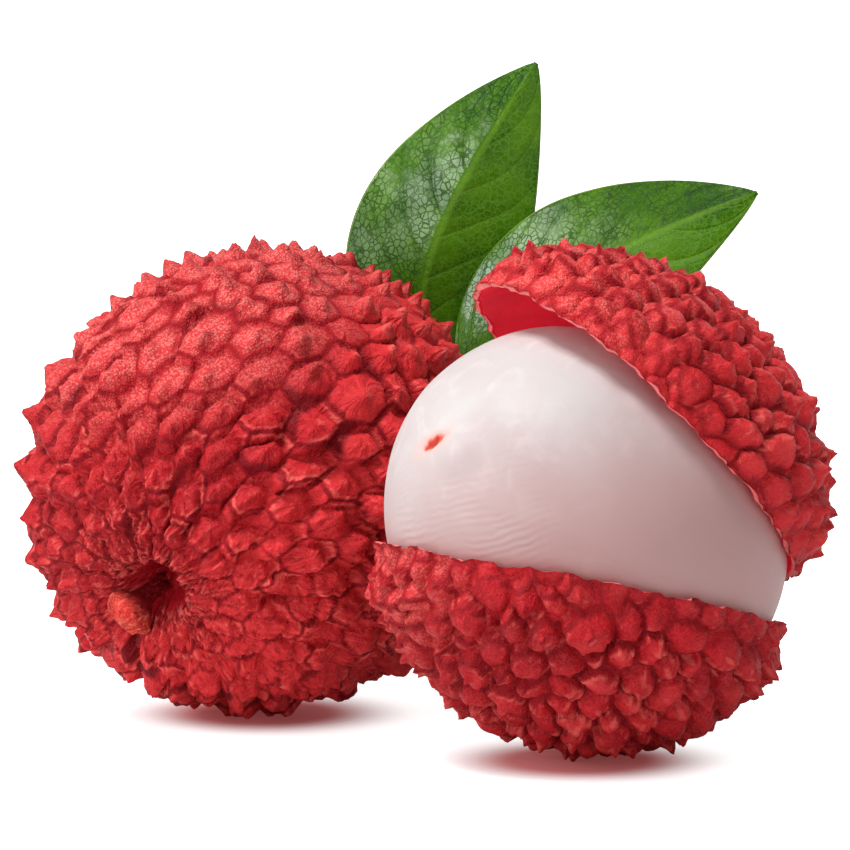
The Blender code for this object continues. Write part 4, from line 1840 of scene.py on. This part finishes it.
@dataclass(frozen=True)
class RindFinish(Finish):
    """Leathery red rind with darker tips and pale granular patches, partly painted light on the
    side facing the lamps; with painted shade in its grooves, creases and stem well, painted
    highlights on its tops and ridges, painted fill light on its shaded sides and a painted glow
    on its inner side.
    """

    name: str = "lychee_rind"
    # Dark red painted shade in the grooves, creases and sharp hollows.
    groove: Colour = linear(112, 2, 14)
    # Painted shade in the stem well.
    hollow: Colour = linear(160, 10, 24)
    body: Colour = linear(156, 9, 22)
    dusk: Colour = linear(138, 6, 18)
    # Lighter red of the painted fill light on shaded sides.
    ruddy: Colour = linear(222, 50, 54)
    # Lighter red: specks in the grain, and painted highlight on tubercle tops and fine streaks.
    light_red_and_highlight: Colour = linear(206, 54, 56)
    # Pink painted highlight on the highest tops and along sharp ridges.
    painted_highlight: Colour = linear(232, 108, 98)
    tip: Colour = linear(146, 14, 26)
    plate: Colour = linear(232, 138, 130)
    wall: Colour = linear(230, 34, 56)
    wall_dusk: Colour = linear(196, 10, 34)
    torn: Colour = linear(240, 140, 136)
    top_highlight_share: float = 0.26
    tip_share: float = 0.0
    ridge_highlight_share: float = 0.45
    crease_shade_width: float = 0.14
    streak_share: float = 0.55
    # Strength of the painted glow on the inner side.
    wall_glow: float = 0.26
    fine_grain: float = 0.14 * MM
    sand_grain: float = 0.20 * MM
    pebble: float = 0.55 * MM
    relief_depth: float = 0.10 * MM

    def dress(self, shade: Shade) -> None:
        """Paint the material.

        Args:
            shade: The material's graph.
        """
        plates, wall = shade.read("pale"), shade.read("wall")
        fine = shade.grain(self.fine_grain)
        streaks = self.streaks(shade) * shade.span(wall, 0.3, 0.05) * shade.span(
            plates, 0.0, 1.0, self.streak_share, 0.12)
        inside = shade.span(wall, 0.80, 0.99)
        torn = shade.span(wall, 0.10, 0.35) * shade.span(wall, 0.99, 0.75)
        skin = shade.paint(
            self.skin(shade, streaks, fine, plates),
            (inside, shade.mottle(4.0 * MM, self.wall, self.wall_dusk)),
            (torn * 0.7, self.torn))
        # The inner side glows in its own colour: painted light standing in for light that shines
        # through the thin rind.
        shade.set(Base_Color=skin, Roughness=shade.span(fine, -0.2, 0.8, 0.45, 0.65),
                  Specular_IOR_Level=0.14, Emission_Strength=self.wall_glow,
                  Emission_Color=shade.tint(inside, (0.0, 0.0, 0.0), self.wall))
        relief = (fine * 0.6 + shade.cells(shade.place, 1.0 / self.pebble) * 0.9
                  + shade.grain(self.sand_grain) * plates * 1.2 + streaks * 1.1)
        shade.bump(relief * shade.span(wall, 0.9, 0.5, 0.12, 1.0), self.relief_depth, 0.9)

    def skin(self, shade: Shade, streaks: Wire, fine: Wire, plates: Wire) -> Wire:
        """Colour the outer side.

        Args:
            shade: The material's graph.
            streaks: Fine ridges that run down the tubercles.
            fine: Fine grains.
            plates: Where the skin is pale and granular: partly its own pale plates, partly
                painted light on the side that faces the lamps.

        Returns:
            The colour.
        """
        groove = shade.read("groove")
        speck = shade.grain(self.sand_grain, Grain.MASK, 1.3)
        body = shade.paint(
            shade.mottle(5.0 * MM, self.body, self.dusk),
            # Painted fill light lightens the skin where it lies in shade.
            (shade.read("ruddy") * 0.65, self.ruddy),
            (speck * 0.22, self.light_red_and_highlight),
            # Painted highlight on the streaks' crests and painted shade in their furrows.
            (shade.span(streaks, 0.10, 0.9, 0.0, 0.5), self.light_red_and_highlight),
            (shade.span(streaks, -0.03, -0.5, 0.0, 0.5), self.groove))
        relief = shade.read("height") + fine * 0.10 + (shade.read("chance") - 0.5) * 0.2
        line = shade.read("sharp") + fine * 0.015
        peak = shade.span(shade.read("tip"), 0.52, 0.16, smooth=True)
        # Painted shade in the creases between the tubercles.
        crease = shade.span(groove, self.crease_shade_width, 0.02, smooth=True)
        return shade.paint(
            # Painted shade: the skin starts from the dark groove colour, and the raised skin is
            # laid over it.
            self.groove,
            (shade.span(relief, -0.14, 0.05, smooth=True), body),
            # Painted highlight: lighter red on the higher tops, pink on the highest.
            (shade.span(relief, 0.55, 1.10, 0.0, self.top_highlight_share), self.light_red_and_highlight),
            (shade.span(relief, 0.95, 1.45, 0.0, 0.35), self.painted_highlight),
            # Pale granular zone: partly the skin's own pale plates, partly painted light on the
            # side that faces the lamps.
            (plates * shade.span(groove, 0.1, 0.6) * 0.75,
             shade.tint(speck * 0.7, self.light_red_and_highlight, self.plate)),
            # Painted highlight along sharp ridges and painted shade in sharp hollows.
            (shade.span(line, 0.05, 0.17, 0.0, self.ridge_highlight_share), self.painted_highlight),
            (shade.span(line, -0.05, -0.16, 0.0, 0.7), self.groove),
            (peak * shade.math("MAXIMUM", plates * 0.7, self.tip_share), self.tip),
            (crease * shade.span(plates, 0.0, 1.0, 0.6, 0.3), self.groove),
            # Painted shade in the stem well.
            (shade.span(shade.read("well"), 0.1, 0.9, 0.0, 0.9), self.hollow))

    def streaks(self, shade: Shade) -> Wire:
        """Draw fine ridges that run down each tubercle from its tip.

        Args:
            shade: The material's graph.

        Returns:
            Their height, up to 1.
        """
        spoke = shade.read("spoke", "Vector")
        reach = shade.length(spoke)
        start = shade.join(shade.read("chance") * 37.0, reach * 0.35, 0.0)
        ridges = shade.folds(shade.unit(spoke) * 1.2 + start, 1.5, 8.0, -0.7, detail=1.0,
                             roughness=0.55)
        return ridges * shade.span(reach, 0.12, 0.5) * shade.span(
            shade.read("groove"), 0.02, 0.25)


@dataclass(frozen=True)
class FleshFinish(Finish):
    """Wet translucent white flesh, pink near the rind and on its lower side, where the pink is
    partly painted shade, with a red scar.
    """

    name: str = "lychee_flesh"
    white: Colour = linear(184, 180, 179)
    shade_white: Colour = linear(178, 168, 167)
    thread: Colour = linear(216, 214, 214)
    pink: Colour = linear(171, 131, 129)
    scar: Colour = linear(214, 70, 40)
    crease: Colour = linear(138, 34, 30)
    blush: Colour = linear(226, 140, 122)
    glow_radius: Triple = (1.0, 0.75, 0.7)
    wrinkle: float = 0.52
    wrinkle_depth: float = 0.016 * MM

    def dress(self, shade: Shade) -> None:
        """Paint the material.

        Args:
            shade: The material's graph.
        """
        pit = shade.read("pit")
        threads = shade.noise(shade.place, 260.0, detail=4.0, twist=1.5)
        flesh = shade.paint(
            shade.mottle(7.0 * MM, self.white, self.shade_white),
            (shade.span(threads, 0.55, 0.75, 0.0, 0.25), self.thread),
            # Pink near the rind, partly painted shade on the lower side.
            (shade.read("low") * 0.9, self.pink),
            (shade.read("halo") * 0.30, self.blush),
            (shade.span(pit, 0.25, 0.8, smooth=True), self.scar),
            (shade.span(pit, 0.62, 0.95) * 0.85, self.crease))
        shade.set(Base_Color=flesh, Roughness=0.48, Specular_IOR_Level=0.20,
                  Subsurface_Weight=0.35, Subsurface_Scale=1.0 * MM,
                  Subsurface_Radius=self.glow_radius)
        shade.bump(self.wrinkles(shade) + shade.grain(0.9 * MM) * 0.8,
                   self.wrinkle_depth, 0.8)

    def wrinkles(self, shade: Shade) -> Wire:
        """Fine wrinkles that come and go, with a height from -1 to 1."""
        sway = shade.noise(shade.place, 700.0, detail=2.0) - 0.5
        return shade.math("SINE", (shade.read("wrinkle_run") + sway * 0.35)
                          * (2.0 * math.pi / self.wrinkle)) * shade.read(
            "wrinkle_zone") * shade.span(
            shade.noise(shade.place, 330.0, detail=2.0), 0.35, 0.62)


@dataclass(frozen=True)
class LeafFinish(Finish):
    """Glossy dark green leaf with lighter veins and a paler underside; painted highlights on its
    raised green, painted shade on its glossy half and a painted highlight on the fine net of the
    other half.
    """

    name: str = "lychee_leaf"
    deep: Colour = linear(24, 72, 0)
    bright: Colour = linear(74, 122, 0)
    shadow: Colour = linear(6, 30, 0)
    vein: Colour = linear(110, 150, 40)
    # Light green of the painted highlight on the fine net of the matt half.
    net: Colour = linear(96, 150, 48)
    under: Colour = linear(84, 128, 64)
    rim: Colour = linear(176, 190, 110)
    stalk: Colour = linear(120, 104, 56)
    stalk_dusk: Colour = linear(92, 84, 40)
    glow_radius: Triple = (0.4, 1.0, 0.2)
    cell_scale: float = 2150.0
    grain_size: float = 0.16 * MM
    relief_depth: float = 0.02 * MM

    def dress(self, shade: Shade) -> None:
        """Paint the material.

        Args:
            shade: The material's graph.
        """
        side, gloss, midrib = (shade.read(name) for name in ("side", "gloss", "midrib"))
        flat = shade.read("flat", "Vector")
        vein = shade.span(shade.read("vein_away"), 0.13, 0.03, smooth=True) * shade.read("fade")
        net = self.fine_net(shade, flat)
        glossy = shade.span(shade.read("across"), 0.12, -0.12)
        matt = 1.0 - glossy
        under = shade.tint(shade.math("MAXIMUM", vein, midrib) * 0.6, self.under, self.rim)
        green = shade.paint(
            shade.mottle(4.0 * MM, self.deep, self.bright, 0.25),
            # Painted highlight on the raised green between the veins.
            (shade.read("puff") * 0.20, self.bright),
            (shade.grain(self.grain_size, Grain.MASK) * 0.25, self.vein),
            # Painted shade on the glossy half, where its gloss is low and along its fine net and
            # veins; painted highlight along the fine net of the other half, whose veins keep
            # their lighter colour.
            (glossy * (1.0 - gloss) * 0.30, self.shadow),
            (net * glossy * 0.62, self.shadow),
            (net * matt * 0.35, self.net),
            (vein * glossy * 0.45, self.shadow),
            (vein * matt * 0.35, self.vein),
            (midrib * 0.35, self.vein),
            (shade.read("rim") * 0.6, self.rim),
            (shade.span(side, 0.2, -0.2), under),
            (shade.read("run_mark"), shade.mottle(1.5 * MM, self.stalk, self.stalk_dusk)))
        patches = shade.span(shade.noise(flat, 230.0, detail=1.0), 0.42, 0.62, 0.10, 1.0)
        coat = (glossy * (gloss * 0.90 + 0.10) * patches + 0.02) * (1.0 - net * 0.8)
        rough = shade.span(side, -0.2, 0.2, 0.55, 0.26)
        shade.set(Base_Color=green, Roughness=rough + shade.math("MAXIMUM", net, vein) * 0.35,
                  Specular_IOR_Level=0.12, Coat_Weight=coat, Coat_Roughness=0.19,
                  Subsurface_Weight=0.12, Subsurface_Scale=0.4 * MM,
                  Subsurface_Radius=self.glow_radius)
        shade.bump(shade.grain(self.grain_size) * 0.5 - net * 0.7, self.relief_depth, 0.6)

    def fine_net(self, shade: Shade, flat: Wire) -> Wire:
        """Net of the finest veins, drawn on the flat blade with a strength up to 1."""
        cells = shade.cells(flat + shade.warp(flat, 420.0) * (0.5 * MM), self.cell_scale,
                            Cells.TO_EDGE)
        return shade.span(cells, 0.13, 0.03, smooth=True) * shade.span(
            shade.noise(flat, 500.0, detail=1.0), 0.30, 0.60, 0.35, 1.0)


@dataclass(frozen=True)
class BarkFinish(Finish):
    """Matt bark with lengthwise furrows, pale grains and, if it is given, painted shade on the
    part that sits down in the stem well.
    """

    furrow: Colour
    body: Colour
    grain: Colour
    # Colour of the painted shade on the part that sits down in the stem well, if any.
    shaded_neck: Optional[Colour] = None
    shaded_neck_end: Tuple[float, float] = (3.3 * MM, 4.2 * MM)
    grain_size: float = 0.14 * MM
    relief_depth: float = 0.04 * MM

    def dress(self, shade: Shade) -> None:
        """Paint the material.

        Args:
            shade: The material's graph.
        """
        bark = shade.paint(
            shade.mottle(1.6 * MM, self.body, self.furrow, 0.3),
            (shade.span(shade.read("grain"), 0.45, 0.95, 0.0, 0.5, smooth=True), self.grain),
            (shade.span(shade.read("furrow"), 0.02, -0.15, 0.0, 0.8), self.furrow),
            (shade.grain(self.grain_size, Grain.MASK) * 0.3, self.grain))
        # Painted shade on the part of the stalk that sits down in the stem well.
        if self.shaded_neck is not None:
            bark = shade.tint(shade.span(shade.read("run"), *self.shaded_neck_end, 1.0, 0.0), bark,
                              self.shaded_neck)
        shade.set(Base_Color=bark, Roughness=0.72, Specular_IOR_Level=0.12)
        shade.bump(shade.grain(self.grain_size), self.relief_depth, 0.8)


@dataclass(frozen=True)
class FloorFinish(Finish):
    """Plain pale matt floor, evenly bright to the camera, with painted dark red shadows and
    painted red bounce light right under the fruits.
    """

    feet: Tuple[Vector, ...]
    pale: Colour = (0.80, 0.80, 0.80)
    # Floor colour at the feet: painted red bounce light from the fruits.
    painted_red_bounce: Colour = (0.70, 0.27, 0.27)
    near: float = 4.5 * MM
    far: float = 12.0 * MM
    # Dark red glow at the feet: painted shadow.
    painted_shadow_glow: Colour = (0.15, 0.03, 0.03)
    far_glow: Colour = (0.85, 0.85, 0.85)

    def dress(self, shade: Shade) -> None:
        """Paint the material.

        Args:
            shade: The material's graph.
        """
        away: Operand = 1.0
        for foot in self.feet:
            away = shade.math("MINIMUM", away, shade.length(shade.place - tuple(foot)))
        # Painted shadow: the floor's glow drops to dark red near the feet, and painted red bounce
        # light tints the floor there; further out it is evenly bright.
        out_of_painted_shadow = shade.span(away, self.near, self.far, smooth=True)
        painted_bounce = shade.span(away, self.near, self.near * 2.0, smooth=True)
        seen = shade.call("ShaderNodeLightPath", "Is Camera Ray", {})
        shade.set(Base_Color=shade.tint(painted_bounce, self.painted_red_bounce, self.pale), Roughness=0.9,
                  Specular_IOR_Level=0.1, Emission_Strength=1.0,
                  Emission_Color=shade.tint(out_of_painted_shadow, self.painted_shadow_glow, self.far_glow) * seen)


# --- Studio ---

@dataclass(frozen=True)
class Lamp:
    """A square lamp that faces the bunch; its power is in watts."""

    name: str
    place: Triple
    power: float
    size: float
    aim: Vector = Vector((0.0, 0.0, 20.0)) * MM

    def add(self) -> None:
        """Set up the lamp."""
        data = bpy.data.lights.new(self.name, "AREA")
        data.energy = self.power
        data.size = self.size
        light = link_object(self.name, data)
        light.location = self.place
        way = self.aim - Vector(self.place)
        light.rotation_euler = way.to_track_quat("-Z", "Y").to_euler()


@dataclass
class Studio:
    """Pale floor, soft lights and the camera."""

    layout: Layout
    floor_finish: Material
    floor_size: float = 8.0
    floor_gap: float = 0.01 * MM
    distance: float = 0.700
    elevation: float = math.radians(7.3)
    target_height: float = 22.6 * MM
    lens: float = 411.8
    sensor: float = 36.0
    world_light: float = 0.30
    lamps: Tuple[Lamp, ...] = (
        Lamp("key_light", (-0.26, -0.20, 0.91), 10.3, 0.30),
        Lamp("left_light_1", (-0.73, -0.60, 0.26), 3.1, 0.36),
        Lamp("left_light_2", (-0.86, 0.04, 0.46), 3.1, 0.36),
        Lamp("fill_light", (0.38, -0.90, 0.08), 2.2, 0.50),
        Lamp("back_light", (0.60, 0.85, 0.50), 2.4, 0.50))

    def build(self) -> None:
        """Set up the floor, the light and the camera."""
        self.add_floor()
        self.add_world()
        for lamp in self.lamps:
            lamp.add()
        self.add_camera()
        bpy.context.scene.view_settings.view_transform = "Standard"
        bpy.context.scene.view_settings.look = "None"

    def add_floor(self) -> None:
        """Lay the floor just under the bunch."""
        half = self.floor_size / 2.0
        corners = np.array([(x * half, y * half, -self.floor_gap)
                            for x, y in ((-1, -1), (1, -1), (1, 1), (-1, 1))])
        floor = new_object("studio_floor", corners, np.array([[0, 1, 2, 3]]))
        floor.data.materials.append(self.floor_finish)

    def add_world(self) -> None:
        """Light the scene evenly from all round."""
        world = bpy.data.worlds.new("studio_world")
        world.use_nodes = True
        graph = Graph(world.node_tree)
        background = world.node_tree.nodes["Background"]
        graph.feed(background.inputs["Color"], (1.0, 1.0, 1.0))
        seen = graph.call("ShaderNodeLightPath", "Is Camera Ray", {})
        graph.feed(background.inputs["Strength"], graph.blend(seen, self.world_light, 1.0))
        bpy.context.scene.world = world

    def add_camera(self) -> None:
        """Set the camera a little above the floor in front of the bunch."""
        data = bpy.data.cameras.new("camera")
        data.lens = self.lens
        data.sensor_width = self.sensor
        camera = link_object("camera", data)
        target = self.layout.shift() + UP * self.target_height
        forward = Vector((0.0, math.cos(self.elevation), -math.sin(self.elevation)))
        camera.location = target - forward * self.distance
        camera.rotation_euler = (math.pi / 2.0 - self.elevation, 0.0, 0.0)
        bpy.context.scene.camera = camera


# --- Building ---

Piece = Union[WholeFruit, StemStub, Flesh, RindPiece, Twig, Leaf]


def vectors(*places: Triple) -> Tuple[Vector, ...]:
    """Points given in millimetres."""
    return tuple(Vector(place) * MM for place in places)


@dataclass
class Bunch:
    """Plans every piece of the bunch, in order."""

    layout: Layout
    effects: Effects
    rind_tree: RindTree
    stalks: StalkTree

    def whole_fruit(self) -> Tuple[Piece, ...]:
        """Plan the whole fruit and the stalk in its well."""
        bark = BarkFinish("stalk_end", linear(134, 15, 15), linear(214, 52, 46),
                          linear(236, 128, 106), shaded_neck=linear(104, 5, 13))
        return (WholeFruit(self.layout, self.rind_tree, RindFinish().material(self.effects)),
                StemStub(self.layout, self.stalks, bark.material(self.effects)))

    def opened_fruit(self) -> Tuple[Piece, ...]:
        """Plan the opened fruit: flesh, cup and lifted flap."""
        rind = RindFinish(
            "opened_lychee_rind", groove=linear(126, 8, 18), body=linear(166, 12, 25),
            light_red_and_highlight=linear(210, 58, 58), top_highlight_share=0.55, tip_share=0.45, crease_shade_width=0.40,
            streak_share=0.20).material(self.effects)
        return (
            Flesh(self.layout, FleshFinish().material(self.effects)),
            RindPiece("rind_cup", "opened_rind_lower", self.rind_tree, rind,
                      self.layout.opened(), self.layout.flesh_egg, TearSide.UNDER,
                      normal=Vector((0.19, 0.16, 0.968)).normalized(), offset=-3.9 * MM,
                      gap=0.3 * MM, seed=5, pale_and_lit_side=Vector((-0.95, -0.25, 0.15)),
                      ruddy=0.0),
            RindPiece("rind_flap", "opened_rind_upper", self.rind_tree, rind,
                      self.layout.flap(), self.layout.flesh_egg, TearSide.OVER,
                      normal=Vector((0.653, 0.308, 0.692)).normalized(), offset=4.3 * MM,
                      gap=0.4 * MM, seed=6, pale_and_lit_side=Vector((-0.15, -0.15, 0.97)),
                      ruddy=0.4))

    def leafy_twig(self) -> Tuple[Piece, ...]:
        """Plan the twig and both leaves.

        Returns:
            The pieces.
        """
        bark = BarkFinish("twig_bark", linear(58, 38, 24), linear(112, 82, 54),
                          linear(168, 140, 104)).material(self.effects)
        shared = (self.layout, LeafTree(), LeafFinish().material(self.effects), self.stalks)
        return (
            Twig(self.layout, self.stalks, bark),
            Leaf("leaf_upper", "leaf_left", *shared, *vectors((2.0, 24.4, 21.8)),
                 midrib=vectors((0.6, 25.0, 23.3), (-2.2, 25.1, 30.5), (2.6, 25.4, 37.5),
                                (8.3, 26.0, 46.4)),
                 face=Vector((-0.05, -0.96, 0.27)), half_width=6.9 * MM,
                 fold=math.radians(-15.0), seed=1.0),
            Leaf("leaf_side", "leaf_right", *shared, *vectors((4.4, 23.2, 21.9)),
                 midrib=vectors((3.2, 22.5, 22.9), (7.2, 19.3, 30.3), (15.2, 15.2, 34.4),
                                (24.3, 13.2, 38.0)),
                 face=Vector((-0.25, -0.88, 0.40)), half_width=7.1 * MM,
                 fold=math.radians(-13.0), seed=2.0, lean=0.70, gloss_run=(0.62, 0.18)))


def foot(node: str) -> Vector:
    """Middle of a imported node's box, on the floor."""
    low, high = (Vector(corner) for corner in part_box(node))
    return (low + high) / 2.0 * Vector((1.0, 1.0, 0.0))


def main() -> None:
    """Build the bunch in its studio and report each piece."""
    logging.basicConfig(level=logging.INFO, format="%(name)s: %(message)s")
    effects = Effects(make_grain_group(), make_mottle_group())
    layout = Layout()
    bunch = Bunch(layout, effects, RindTree(), StalkTree())
    for plan in (*bunch.whole_fruit(), *bunch.opened_fruit(), *bunch.leafy_twig()):
        piece = plan.build()
        LOG.info("%s: %d faces", piece.name, len(piece.data.polygons))
    floor = FloorFinish("studio_floor", (foot("whole_fruit"), foot("opened_rind_lower")))
    Studio(layout, floor.material(effects)).build()
    LOG.info("studio: floor, %d lamps and the camera", len(Studio.lamps))


if __name__ == "__main__":
    main()
